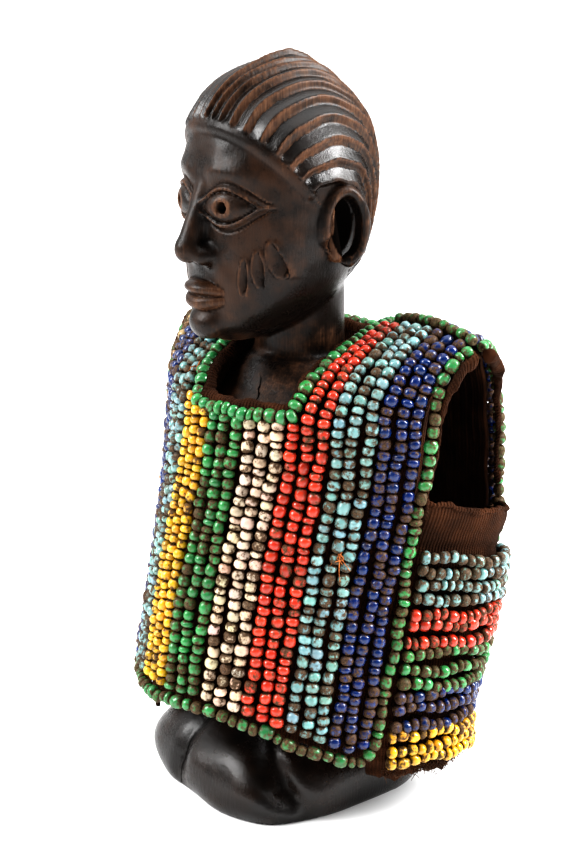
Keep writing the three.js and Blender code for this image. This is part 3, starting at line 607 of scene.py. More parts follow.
def block_distance(p):
    """The low, worn foot block: two lobes with a valley on each side and a shallow split in front."""
    rise = p[:, 2] / BLOCK["height"]
    angle = np.degrees(np.arctan2(p[:, 0], -p[:, 1]))
    grooves = np.zeros(len(p))
    for name, (middle, depth, width) in BLOCK_GROOVES.items():
        lean = LEFT_GROOVE_LEAN * (p[:, 2] - 8) if name == "left" else 0.0
        grooves += depth * bump_at(angle, middle - lean, width)
    lumps = 0.012 * np.sin(p[:, 0] * 0.21 + 1.0) * np.sin(p[:, 1] * 0.17 + p[:, 2] * 0.2)
    foot = 1 - 0.04 * np.maximum(0, 1 - rise / 0.2) ** 2
    limit = foot * (1 - grooves * np.clip(rise * 3, 0, 1) + lumps)
    x = np.abs(p[:, 0] / BLOCK["half_width"])
    y = np.abs(p[:, 1] / BLOCK["half_depth"])
    size = superellipse_size(x, y, BLOCK["roundness"]) / limit
    climb = np.maximum(0, rise - DOME_FROM) / DOME_REACH
    value = size ** 2 + climb ** 2 - 1
    slope = np.hypot(2 * size / BLOCK["half_width"], 2 * climb / (DOME_REACH * BLOCK["height"]))
    dome = value / np.maximum(slope, 0.02)
    return np.maximum(dome, -p[:, 2])


def head_section(p):
    """Superellipse size of the plain head's section at each point's height: 1 on its surface."""
    share = np.clip((p[:, 2] - CHIN) / (HEAD_TOP - CHIN), 0.0, 1.0)
    half = np.maximum(between(HEAD_LEVELS, share, 1), 1e-3)
    front = between(HEAD_LEVELS, share, 2)
    back = between(HEAD_LEVELS, share, 3)
    depth = np.maximum((back - front) / 2, 1e-3)
    x = np.abs(p[:, 0] / half)
    y = np.abs((p[:, 1] - (front + back) / 2) / depth)
    outside = (p[:, 2] <= CHIN) | (p[:, 2] >= HEAD_TOP)
    return np.where(outside, 2.0, superellipse_size(x, y, HEAD_ROUNDNESS))


def head_radius_table(polar_steps=181, round_steps=361):
    """Distance from the head's centre to its plain surface, for each direction round the ear axis."""
    polar = np.radians(np.linspace(0, 180, polar_steps))[:, None]
    around = np.radians(np.linspace(-180, 180, round_steps))[None, :]
    ones = np.ones_like(polar * around)
    direction = np.stack([
        (np.cos(polar) * ones).ravel(),
        (-np.sin(polar) * np.cos(around)).ravel(),
        (np.sin(polar) * np.sin(around)).ravel(),
    ], axis=1)
    near = np.zeros(len(direction))
    far = np.full(len(direction), 60.0)
    for _ in range(22):
        middle = (near + far) / 2
        within = head_section(HEAD_CENTRE + direction * middle[:, None]) < 1
        near = np.where(within, middle, near)
        far = np.where(within, far, middle)
    return near.reshape(polar_steps, round_steps)


HEAD_RADIUS = head_radius_table()


def head_angles(p):
    """Distance from the head's centre, polar angle and angle round the ear axis, in degrees."""
    d = p - HEAD_CENTRE
    distance = np.linalg.norm(d, axis=1)
    polar = np.degrees(np.arccos(np.clip(d[:, 0] / np.maximum(distance, 1e-6), -1, 1)))
    around = np.degrees(np.arctan2(d[:, 2], -d[:, 1]))
    return distance, polar, around


def plain_radius(polar, around):
    rows = np.clip(polar, 0, 179.999)
    columns = np.clip(around + 180, 0, 359.999)
    r, c = rows.astype(int), columns.astype(int)
    fr, fc = rows - r, columns - c
    upper = lerp(HEAD_RADIUS[r, c], HEAD_RADIUS[r, c + 1], fc)
    lower = lerp(HEAD_RADIUS[r + 1, c], HEAD_RADIUS[r + 1, c + 1], fc)
    return lerp(upper, lower, fr)


RIDGE_EDGES = 90 - (90 - INNERMOST) * (np.arange(RIDGES, -1, -1) / RIDGES) ** RIDGE_SPREAD


def hair_profile(polar, around):
    """Lift of the carved locks over the plain head, where their risers and rims are, and how far
    inside the hairline the point lies."""
    over = np.where(around < -60, around + 360, around)
    past = np.clip((over - HAIRLINE["fan_start"]) / (HAIRLINE["nape"] - HAIRLINE["fan_start"]), 0, 1.2)
    wander = 0.9 * np.sin(over * 0.055 + polar * 0.11) + 0.35 * np.sin(over * 0.19)
    folded = 90 - np.abs(polar - 90) / (1 - HAIRLINE["fan"] * past ** 2)
    folded = folded + wander * smoothstep(90, 80, folded)
    lock = np.clip(np.searchsorted(RIDGE_EDGES, folded) - 1, 0, RIDGES - 1)
    t = np.clip((folded - RIDGE_EDGES[lock]) / (RIDGE_EDGES[lock + 1] - RIDGE_EDGES[lock]), 0, 1)
    top = 1 - RISER_SHARE
    tread = LOCK_VALLEY + (LOCK_HEIGHT - LOCK_VALLEY) * (1 - np.clip(t / top, 0, 1)) ** 1.15
    rise = smoothstep(top, 1.0, t)
    lift = np.where(t < top, tread, lerp(LOCK_VALLEY, LOCK_HEIGHT, rise))
    crest = bump_at(polar, 90, 2.6)
    lift = lift + crest * (0.5 + CREST["peak"] * bump_at(over, CREST["round"], CREST["reach"]))
    fade = smoothstep(HAIRLINE["nape"] + 3, HAIRLINE["nape"] - 22, over)
    lift = lift * lerp(0.12, 1.0, fade)
    inside = np.minimum(over - HAIRLINE["round"], HAIRLINE["nape"] - over)
    inside = np.minimum(inside, (folded - INNERMOST + 1.5) * 1.5)
    riser = np.where(t > top - 0.04, 1.0, 0.0) * fade
    # Rims at both ends of each lock; their brown is partly a painted highlight
    rim = bump_at(t, 0.0, 0.1) + bump_at(t, 1.0, 0.08)
    return lift, riser, rim * fade, inside


def almond(x, z, side):
    """Size of the almond outline of an eye at a point of the face: 1 on the lid's middle line."""
    a = (x * side - EYE["x"]) / EYE["half_width"]
    squeeze = np.clip(1 - 0.5 * a * a, 0.25, 1)
    b = (z - EYE["z"] - 0.4 * a) / (EYE["half_height"] * squeeze)
    return np.sqrt(a * a + b * b), a


def pupil_distance(x, z, side):
    return np.hypot(x * side - EYE["x"] - PUPIL["aside"], z - EYE["z"])


def leaf_marks(x, z, side):
    """Lift and depth of three leaf-shaped marks on a cheek, a common ornament on such figures."""
    lift = np.zeros(len(x))
    for cx, cz, lean in CHEEK_MARKS:
        u = (x * side - cx) - lean * (z - cz)
        v = (z - cz) / CHEEK_MARK["half_height"]
        beyond = np.abs(u) - CHEEK_MARK["half_width"] * np.clip(1 - v * v, 0.0, 1)
        rim = CHEEK_MARK["rim"] * bump_at(beyond, 0.35, 0.45)
        lift += smoothstep(1.0, 0.75, np.abs(v)) * (rim - CHEEK_MARK["depth"] * smoothstep(0.1, -0.9, beyond))
    return lift


def face_profile(p, around):
    """Lift of the carved face over the plain head, and where its worn brown wood shows."""
    x, z = p[:, 0], p[:, 2]
    forward = smoothstep(75, 50, np.abs(around)) * (p[:, 1] < -4)
    lift = np.zeros(len(p))
    worn = np.zeros(len(p))
    for side in (LEFT, RIGHT):
        ring, a = almond(x, z, side)
        dome = np.sqrt(np.clip(1 - (ring / 0.95) ** 2, 0, 1))
        lift += EYE["bulge"] * dome
        within = smoothstep(1.5, 1.15, np.abs(a))
        lid = LID["height"] * bump_at(ring, 1.16, 0.16)
        lift += within * (lid - LID["inner_crease"] * bump_at(ring, 0.95, 0.07))
        lift -= within * LID["outer_crease"] * bump_at(ring, 1.52, 0.14)
        pupil = pupil_distance(x, z, side)
        lift -= PUPIL["depth"] * smoothstep(2.1, 1.4, pupil)
        worn += 0.75 * smoothstep(3.9, 3.2, pupil) * smoothstep(1.5, 2.0, pupil)
        worn += 0.5 * bump_at(ring, 1.12, 0.16)
        brow = EYE["z"] + BROW["above_eye"] - 0.022 * (x * side - 12) ** 2
        arch = BROW["height"] * bump_at(z, brow, BROW["half_thickness"])
        lift += arch * smoothstep(1, 8, x * side) * smoothstep(26, 16, x * side)
        marks = leaf_marks(x, z, side)
        lift += marks
        worn += 0.55 * np.clip(marks / CHEEK_MARK["rim"], 0, 1)
    return lift * forward, worn * forward


def nose_distance(p):
    q = np.abs(p[:, :1]) * np.array([1.0, 0, 0]) + p * np.array([0, 1.0, 1.0])
    tip_centre, tip_radius = NOSE["tip"]
    tip = np.linalg.norm(q - np.array(tip_centre), axis=1) - tip_radius
    body = join(capsule(q, *NOSE["bridge"]), tip, BLENDS["nose_tip"])
    body = join(body, ellipsoid(q, *NOSE["wing"]), BLENDS["nose_wing"])
    return cut(body, ellipsoid(q, *NOSE["nostril"]), BLENDS["nostril"])


def lip_distances(p):
    """Distance from the upper and from the lower lip."""
    a = p[:, 0] / MOUTH["half_width"]
    fall = np.sqrt(np.clip(1 - a * a, 0, 1) + 0.04)
    y = MOUTH["y"] + MOUTH["curve"] * a * a
    past = np.maximum(np.abs(p[:, 0]) - MOUTH["reach"], 0)
    distances = []
    for z, half_height, reach, droop in LIPS:
        v = (p[:, 2] - (z + droop * a * a)) / (half_height * fall)
        u = (p[:, 1] - y) / (reach * fall)
        distances.append((np.sqrt(u * u + v * v) - 1) * half_height * fall + past)
    return distances


def ear_distance(p, side):
    """Distances from an ear's rim, from the leaf in its middle and from its hollow."""
    x = p[:, 0] * side
    u = (p[:, 1] - EAR["y"]) / EAR["half_width"]
    v = (p[:, 2] - EAR["z"]) / EAR["half_height"]
    ring = np.hypot(u, v)
    angle = np.degrees(np.arctan2(v, u))
    local = np.hypot(EAR["half_width"] * u, EAR["half_height"] * v) / np.maximum(ring, 0.05)
    stand = 27.5 + EAR["stand"] * (0.6 + 0.4 * u / np.maximum(ring, 0.3))
    open_front = smoothstep(48, 22, np.abs((angle + 122 + 180) % 360 - 180))
    rim = np.hypot((ring - 1) * local, (x - stand) * 0.8) - EAR["rim"] * (1 - 0.85 * open_front)
    q = np.stack([x, p[:, 1], p[:, 2]], 1)
    leaf_ends = (28.6, EAR["y"] - 4.6, EAR["z"] + 7), (28.6, EAR["y"] - 2.2, EAR["z"] - 9.5)
    leaf = capsule(q, *leaf_ends, 1.2, 2.1)
    hollow = ellipsoid(q, (30.5, EAR["y"] + 0.6, EAR["z"]), (5.6, 5.0, 9.6))
    return rim, leaf, hollow


def head_distance(p):
    distance, polar, around = head_angles(p)
    plain = distance - plain_radius(polar, around)
    features, _ = face_profile(p, around)
    tools = TOOL_MARKS * np.sin(p[:, 0] * 0.55 + np.sin(p[:, 2] * 0.4)) * np.sin(p[:, 2] * 0.35 + 1.3)
    face = plain - features - tools
    lift, _, _, inside = hair_profile(polar, around)
    hair = np.maximum(plain - lift, (-inside) * 0.55)
    head = join(face, hair, BLENDS["hair"])
    from_axis = np.hypot(p[:, 1] - HEAD_CENTRE[1], p[:, 2] - HEAD_CENTRE[2])
    arc = np.radians(around - HAIRLINE["round"] + 1.5) * from_axis
    over_ears = smoothstep(INNERMOST - 6, INNERMOST, 90 - np.abs(polar - 90))
    band = np.hypot(arc * 0.75, plain) - HAIRLINE["thickness"] * over_ears
    head = join(head, np.where(around > 0, band, 9.0), BLENDS["hairline"])
    head = join(head, nose_distance(p), BLENDS["nose"])
    head = join(head, ellipsoid(p, *CHIN_BALL), BLENDS["chin"])
    head = join(head, join(*lip_distances(p), BLENDS["between_lips"]), BLENDS["lips"])
    for side in (LEFT, RIGHT):
        rim, leaf, hollow = ear_distance(p, side)
        head = join(head, rim, BLENDS["ear_rim"])
        head = cut(head, hollow, BLENDS["ear_hollow"])
        head = join(head, leaf, BLENDS["ear_leaf"])
    return head


def neck_distance(p):
    rise = (p[:, 2] - NECK["bottom"]) / (NECK["top"] - NECK["bottom"])
    radius = NECK["radius"] + NECK["flare"] * np.clip(1 - rise / 0.45, 0, 1) ** 1.6
    size = np.hypot(p[:, 0], p[:, 1] - NECK["y"]) - radius
    return np.maximum(size, np.maximum(NECK["bottom"] - p[:, 2], p[:, 2] - NECK["top"]))


def body_distance(p):
    body = block_distance(p)
    for side in (LEFT, RIGHT):
        body = join(body, loft_distance(p, LEG, BODY_ROUNDNESS, side), BLENDS["legs"])
    trunk = loft_distance(p, TORSO, BODY_ROUNDNESS)
    for side in (LEFT, RIGHT):
        trunk = join(trunk, loft_distance(p, ARM, ARM_ROUNDNESS, side), BLENDS["arms"])
    return join(body, trunk, BLENDS["trunk"])


def figure_distance(p):
    """Signed distance of the whole figure; each region asks only for the parts that reach it."""
    z = p[:, 2]
    result = np.full(len(p), 30.0)
    low = z < BODY_TOP
    result[low] = body_distance(p[low])
    middle = (z > NECK_REACH[0]) & (z < NECK_REACH[1])
    result[middle] = join(result[middle], neck_distance(p[middle]), BLENDS["neck"])
    high = z > HEAD_BOTTOM
    result[high] = join(result[high], head_distance(p[high]), BLENDS["head"])
    return result


class Lattice:
    """Points of a grid that is fine at the head and coarse where the tunic hides the body."""

    def __init__(self):
        levels = [-1.5]
        while levels[-1] < HEAD_TOP + 8:
            levels.append(levels[-1] + np.interp(levels[-1], LATTICE_HEIGHTS, LATTICE_STEPS))
        self.levels = np.array(levels)
        self.step = np.interp(self.levels, LATTICE_HEIGHTS, LATTICE_STEPS)
        self.middle = np.interp(self.levels, [0, 60, 150, 180], [0, 2, 2, -6])
        self.columns = np.arange(-LATTICE_HALF_COLUMNS, LATTICE_HALF_COLUMNS + 1)
        self.rows = np.arange(-LATTICE_HALF_ROWS, LATTICE_HALF_ROWS + 1)
        self.shape = (len(self.columns), len(self.rows), len(self.levels))

    def points(self, i, j, k):
        step = self.step[k]
        return np.stack([self.columns[i] * step, self.middle[k] + self.rows[j] * step, self.levels[k]], 1)


def sample_field(lattice, coarse=5):
    """The figure's distances on the lattice, worked out in full only near its surface."""
    picks = [np.unique(np.append(np.arange(0, n, coarse), n - 1)) for n in lattice.shape]
    grid = np.meshgrid(*picks, indexing="ij")
    rough = figure_distance(lattice.points(*[g.ravel() for g in grid])).reshape(grid[0].shape)
    nearest = [
        np.clip(np.round(np.arange(n) / coarse).astype(int), 0, len(pick) - 1)
        for n, pick in zip(lattice.shape, picks)
    ]
    field = rough[np.ix_(*nearest)]
    reach = lattice.step[None, None, :] * coarse * 1.25 + 1.0
    close = np.argwhere(np.abs(field) < reach)
    for part in np.array_split(close, max(1, len(close) // LATTICE_PART)):
        i, j, k = part.T
        field[i, j, k] = figure_distance(lattice.points(i, j, k))
    return field


def surface_nets(field, lattice):
    """A closed surface of four-cornered faces through the field's zero level: one point in each cell
    that the surface passes, at the middle of its crossings."""
    shape = np.array(field.shape)
    inside = field < 0
    crossings, cells, quads = [], [], []
    for axis in range(3):
        low = [slice(None)] * 3
        high = [slice(None)] * 3
        low[axis], high[axis] = slice(None, -1), slice(1, None)
        at = np.argwhere(inside[tuple(low)] != inside[tuple(high)])
        b, c = (axis + 1) % 3, (axis + 2) % 3
        kept = (at[:, b] > 0) & (at[:, b] < shape[b] - 1) & (at[:, c] > 0) & (at[:, c] < shape[c] - 1)
        at = at[kept]
        end = at.copy()
        end[:, axis] += 1
        value_a, value_b = field[tuple(at.T)], field[tuple(end.T)]
        t = (value_a / (value_a - value_b))[:, None]
        crossing = lerp(lattice.points(*at.T), lattice.points(*end.T), t)
        corners = []
        for down_b, down_c in ((0, 0), (1, 0), (1, 1), (0, 1)):
            cell = at.copy()
            cell[:, b] -= down_b
            cell[:, c] -= down_c
            corners.append(np.ravel_multi_index(tuple(cell.T), tuple(shape - 1)))
        quad = np.stack(corners, 1)
        cells.append(quad.ravel())
        crossings.append(np.repeat(crossing, 4, axis=0))
        outward = inside[tuple(at.T)][:, None]
        quads.append(np.where(outward, quad, quad[:, ::-1]))
    keys, index = np.unique(np.concatenate(cells), return_inverse=True)
    crossings = np.concatenate(crossings)
    count = np.bincount(index)
    points = np.stack([np.bincount(index, crossings[:, n]) / count for n in range(3)], 1)
    return points, np.searchsorted(keys, np.concatenate(quads))


def settle(points, steps=2):
    """Moves points onto the zero level along the field's slope."""
    tiny = 0.05
    for _ in range(steps):
        value = figure_distance(points)
        slope = np.stack([
            (figure_distance(points + tiny * axis) - value) / tiny for axis in np.eye(3)
        ], 1)
        move = -value[:, None] * slope / np.maximum((slope ** 2).sum(1), 0.2)[:, None]
        length = np.linalg.norm(move, axis=1, keepdims=True)
        points = points + move * np.minimum(1, 0.22 / np.maximum(length, 1e-6))
    return points


def bulge_of(points, quads):
    """How far each point stands proud of its neighbours, along its normal, in millimetres."""
    a, b, c, d = (points[quads[:, n]] for n in range(4))
    face = np.cross(c - a, d - b)
    normal = np.zeros_like(points)
    around = np.zeros_like(points)
    count = np.zeros(len(points))
    for n in range(4):
        for m in range(3):
            normal[:, m] += np.bincount(quads[:, n], face[:, m], len(points))
            neighbour = points[quads[:, (n + 1) % 4]][:, m]
            around[:, m] += np.bincount(quads[:, n], neighbour, len(points))
        count += np.bincount(quads[:, n], minlength=len(points))
    return ((points - around / np.maximum(count, 1)[:, None]) * unit(normal)).sum(1)


def wood_marks(points, quads):
    """Where the patina is worn to brown wood, partly as a painted highlight on edges and rims, where hollows
    are painted near-black as shade, and where it is polished.
    """
    bulge = bulge_of(points, quads)
    z = points[:, 2]
    at_head = z > HEAD_MARKS_FROM
    _, polar, around = head_angles(points)
    _, riser, rim, inside = hair_profile(polar, around)
    on_hair = smoothstep(-1.5, 1.0, inside) * at_head
    _, face = face_profile(points, around)
    # Convex edges turn brown: partly worn wood, partly a painted highlight along them
    edges = np.clip(bulge * 6.0, 0, 0.6) * (z > 160) * (1 - 0.6 * on_hair)
    worn = WEAR_AND_HIGHLIGHT["base"] + WEAR_AND_HIGHLIGHT["edges"] * edges
    worn = worn + WEAR_AND_HIGHLIGHT["neck"] * smoothstep(172, 162, z) * (z > 60)
    # Risers of the locks are worn brown; their rims are brown partly as a painted highlight
    worn = np.maximum(worn, on_hair * (WEAR_AND_HIGHLIGHT["risers"] * riser + WEAR_AND_HIGHLIGHT["rims"] * rim))
    worn = np.maximum(worn, face * at_head)
    lips = smoothstep(1.0, 0.2, np.abs(lip_distances(points)).min(0))
    worn = np.maximum(worn, WEAR_AND_HIGHLIGHT["lips"] * lips * at_head)
    # Painted shade: concave places, ear hollows and pupils are marked to turn near black
    hollow = np.clip(-bulge * 9.0, 0, 0.6) * (1 - riser * on_hair)
    for side in (LEFT, RIGHT):
        rim_d, leaf, deep = ear_distance(points, side)
        hollow = np.maximum(hollow, smoothstep(0.9, 0.1, deep) * smoothstep(0.6, 1.2, rim_d) * at_head)
        worn = np.maximum(worn, WEAR_AND_HIGHLIGHT["ears"] * smoothstep(1.0, 0.2, leaf) * at_head)
        pupil = pupil_distance(points[:, 0], z, side)
        hollow = np.maximum(hollow, smoothstep(1.7, 1.3, pupil) * (points[:, 1] < -20))
    treads = on_hair * (1 - riser) * (1 - 0.7 * np.clip(rim, 0, 1))
    polish = np.maximum(0.6 * smoothstep(52, 40, z), treads)
    return {"worn": worn, "hollow": hollow, "polish": polish}


def build_figure():
    lattice = Lattice()
    points, quads = surface_nets(sample_field(lattice), lattice)
    points = settle(points)
    points[:, 2] = np.maximum(points[:, 2], 0.0)
    piece = make_mesh("wood_figure", points, [quads], [WOOD], wood_marks(points, quads))
    add_piece(piece, "wood", "figure")


# Tunic surface, the same rules as in the CAD source


def superellipse(angle, roundness):
    x, y = np.cos(angle), np.sin(angle)
    return np.sign(x) * np.abs(x) ** (2 / roundness), np.sign(y) * np.abs(y) ** (2 / roundness)


RING_ANGLES = math.tau * np.arange(RING_STEPS + 1) / RING_STEPS - math.pi / 2
RING_X, RING_Y = superellipse(RING_ANGLES, SECTION_ROUNDNESS)


def rings(z):
    """Section points and their distance round from the front centre, one row for each height."""
    half_width, half_depth, flare, setback = (between(SECTIONS, z, n)[:, None] for n in (1, 2, 3, 4))
    x = RING_X * half_width * (1 + flare * np.sin(RING_ANGLES))
    y = RING_Y * half_depth + setback
    steps = np.hypot(np.diff(x, axis=1), np.diff(y, axis=1))
    arcs = np.concatenate([np.zeros((len(z), 1)), np.cumsum(steps, axis=1)], axis=1)
    return x, y, arcs


def ring_point(z, arc_of):
    """The point at a distance round the section; arc_of gives that distance from the ring's length."""
    x, y, arcs = rings(z)
    length = arcs[:, -1]
    wrapped = arc_of(length) % length
    high = np.clip((arcs < wrapped[:, None]).sum(1), 1, RING_STEPS)
    row = np.arange(len(z))
    share = (wrapped - arcs[row, high - 1]) / (arcs[row, high] - arcs[row, high - 1])
    return np.stack([
        lerp(x[row, high - 1], x[row, high], share), lerp(y[row, high - 1], y[row, high], share), z,
    ], 1)


def from_middle(strand):
    return (strand - MIDDLE_STRAND) / MIDDLE_STRAND


def hem_height(face, strand):
    middle, near, far = HEMS[face]
    share = from_middle(strand)
    return lerp(middle, np.where(share < 0, near, far), np.abs(share) ** HEM_CURVE)


def shoulder_point(strand, face):
    share = np.abs(from_middle(strand))
    hump = np.sin(np.pi * np.clip((share - 0.3) / 0.7, 0, 1))
    return np.stack([
        SHOULDER["near"] - SHOULDER["spacing"] * strand,
        SHOULDER["y"] - SHOULDER["drop"] * share - face * SEAM_GAP,
        SHOULDER["z"] + SHOULDER["hump"] * hump,
    ], 1)


def as_pair(a, b):
    """Two numbers or arrays as arrays of one length."""
    return np.broadcast_arrays(np.asarray(a, float), np.asarray(b, float))


def panel_point(face, strand, rise):
    strand, rise = as_pair(strand, rise)
    z = lerp(hem_height(face, strand), BEND["z"], np.minimum(rise, 1))
    across = (MIDDLE_STRAND - strand) * STRAND_PITCH
    if face == FRONT:
        low = ring_point(z, lambda length: FRONT_CENTRE_ARC + across)
    else:
        low = ring_point(z, lambda length: length / 2 + FRONT_CENTRE_ARC - across)
    t = np.maximum(rise - 1, 0)[:, None]
    lift = BEND["lift"] + BEND["edge_lift"] * from_middle(strand) ** 2
    control = low + np.stack([0 * rise, BEND["lean"] * face + 0 * rise, lift], 1)
    end = shoulder_point(strand, face)
    return (1 - t) ** 2 * low + 2 * t * (1 - t) * control + t ** 2 * end


def panel_frame(face, strand, rise):
    """Point, normal and upward direction of a panel's surface."""
    step = 0.02
    strand, rise = as_pair(strand, rise)
    point = panel_point(face, strand, rise)
    across = panel_point(face, strand + step, rise) - panel_point(face, strand - step, rise)
    upper = np.minimum(2, rise + step)
    up = panel_point(face, strand, upper) - panel_point(face, strand, upper - 2 * step)
    normal = unit(np.cross(up, across) * face)
    upright = smoothstep(1.5, 2.0, rise)[:, None]
    normal = unit(lerp(normal, UP, upright))
    return point, normal, unit(up)


def gusset_point(side, share, z):
    """Point of a gusset at a share of the way from the front panel to the back panel."""
    share, z = as_pair(share, z)
    sagging = z - (GUSSET["sag"] + GUSSET["stretch"] * z) * np.maximum(0, share) ** 1.2
    half = side * MIDDLE_STRAND * STRAND_PITCH
    front_edge = FRONT_CENTRE_ARC + half

    def arc(length):
        back_edge = length / 2 + FRONT_CENTRE_ARC - half
        reach = back_edge - front_edge if side == LEFT else front_edge - (back_edge - length)
        return front_edge + side * share * reach

    return ring_point(sagging, arc)


def gusset_frame(side, share, z):
    """Point, normal and direction towards the back of a gusset's surface."""
    step = 0.01
    point = gusset_point(side, share, z)
    along = gusset_point(side, share + step, z) - gusset_point(side, share - step, z)
    normal = unit(np.cross(along, UP) * side)
    return point, normal, unit(along)


def to_figure(points):
    """From the tunic's own frame to the figure's."""
    turn = np.array([
        [math.cos(TUNIC_TURN), -math.sin(TUNIC_TURN), 0],
        [math.sin(TUNIC_TURN), math.cos(TUNIC_TURN), 0],
        [0, 0, 1],
    ])
    return points @ turn.T + TUNIC_SHIFT


def opening_places():
    """Places round the neck opening as face, strand and rise."""
    near, far, far_top, front, back, corner = (
        OPENING[key] for key in ("near", "far", "far_top", "front_rise", "back_rise", "corner")
    )
    return [
        (FRONT, near + 0.5, front),
        (FRONT, near, front + corner),
        (FRONT, near, 1.4),
        (FRONT, near, 1.7),
        (BACK, near, 2),
        (BACK, near, 1.8),
        (BACK, near + 1.2, back),
        (BACK, MIDDLE_STRAND, back),
        (BACK, far_top - 1.6, back),
        (BACK, far_top, 1.8),
        (BACK, far_top, 2),
        (FRONT, lerp(far, far_top, 0.7), 1.7),
        (FRONT, lerp(far, far_top, 0.4), 1.4),
        (FRONT, far, front + corner),
        (FRONT, far - 0.5, front),
        (FRONT, MIDDLE_STRAND, front),
    ]


def opening_limits(face, rise, grow):
    """First and last strand that the neck opening, grown by a number of strings, takes out of a panel
    at each rise. Both are the middle one where it takes out none."""
    last = OPENING["far_top"] + grow
    if face == FRONT:
        start = OPENING["front_rise"] - grow * 0.05
        last = lerp(OPENING["far"] + grow, last, np.clip((rise - 1.1) / 0.85, 0, 1))
        corner = np.clip(1 - (rise - start) / OPENING["corner"], 0, 1) * 0.6
    else:
        start = OPENING["back_rise"] - grow * 0.12
        corner = np.clip(1 - (rise - start) / 0.25, 0, 1) * 1.4
    first, last = OPENING["near"] - grow + corner, last - corner
    closed = rise < start
    return np.where(closed, MIDDLE_STRAND, first), np.where(closed, MIDDLE_STRAND, last)


# Strings of beads

BEAD_SIDES = 10
# Radius and place along the hole of each ring of a bead's outline, as shares of its half sizes
BEAD_RINGS = np.array([
    [0.16, -0.70],
    [0.38, -0.98],
    [0.70, -0.86],
    [0.93, -0.50],
    [1.00, 0.00],
    [0.93, 0.50],
    [0.70, 0.86],
    [0.38, 0.98],
    [0.16, 0.70],
])
# Colour of the glass, how dirty its beads are from 0 clean to 1 buried, and the share that is buried
PALETTE = {
    "blue": ((0.001, 0.016, 0.09), 0.26, 0.24),
    "lightblue": ((0.15, 0.28, 0.275), 0.36, 0.32),
    "red": ((0.42, 0.034, 0.014), 0.22, 0.07),
    "white": ((0.52, 0.41, 0.30), 0.33, 0.1),
    "green": ((0.03, 0.19, 0.058), 0.34, 0.22),
    "yellow": ((0.55, 0.30, 0.015), 0.2, 0.05),
    "pale": ((0.42, 0.27, 0.13), 0.5, 0.3),
}
# Length of string to a bead, bead radius, unevenness, extra dirt and wander of each place's strings
PANEL_STRING = (3.6, 2.2, 1.0, 0.0, 0.42)
YELLOW_STRING = (3.15, 2.05, 1.0, 0.0, 0.42)
GUSSET_STRING = (3.7, 2.2, 1.1, 0.12, 0.42)
EDGE_STRING = (3.9, 2.15, 1.5, 0.2, 0.7)
NECK_STRING = (3.7, 2.45, 1.1, -0.16, 0.42)
SEAM_STRING = (3.9, 1.95, 1.2, 0.2, 0.42)
# Strands between which each shoulder seam's string runs
SEAM_SPANS = {"left": (0.2, 7.7), "right": (20.4, 25.8)}
# Rings below this radius lie in the bead's hole
HOLE = 0.4
GRIME_IN_HOLE = 1.2
# How much the grime and the painted shade rise towards each bead's ends, where it meets its neighbours
GRIME_AND_SHADE_AT_ENDS = 0.55
# How much lighter and glossier each bead is on its outward face than on its side towards the cloth
LIGHTER_OUTWARD = 0.16
CORD_RADIUS = 0.45
CORD_SIDES = 5
# Standard deviations of what differs from bead to bead: shares, except for aside and out in millimetres
SPREAD = {
    "oval": 0.035, "lean": 0.06, "length": 0.17, "aside": 0.2, "out": 0.16, "tilt": 0.07, "width": 0.055,
    "tone": 0.13, "hue": 0.05, "grime": 0.13,
}


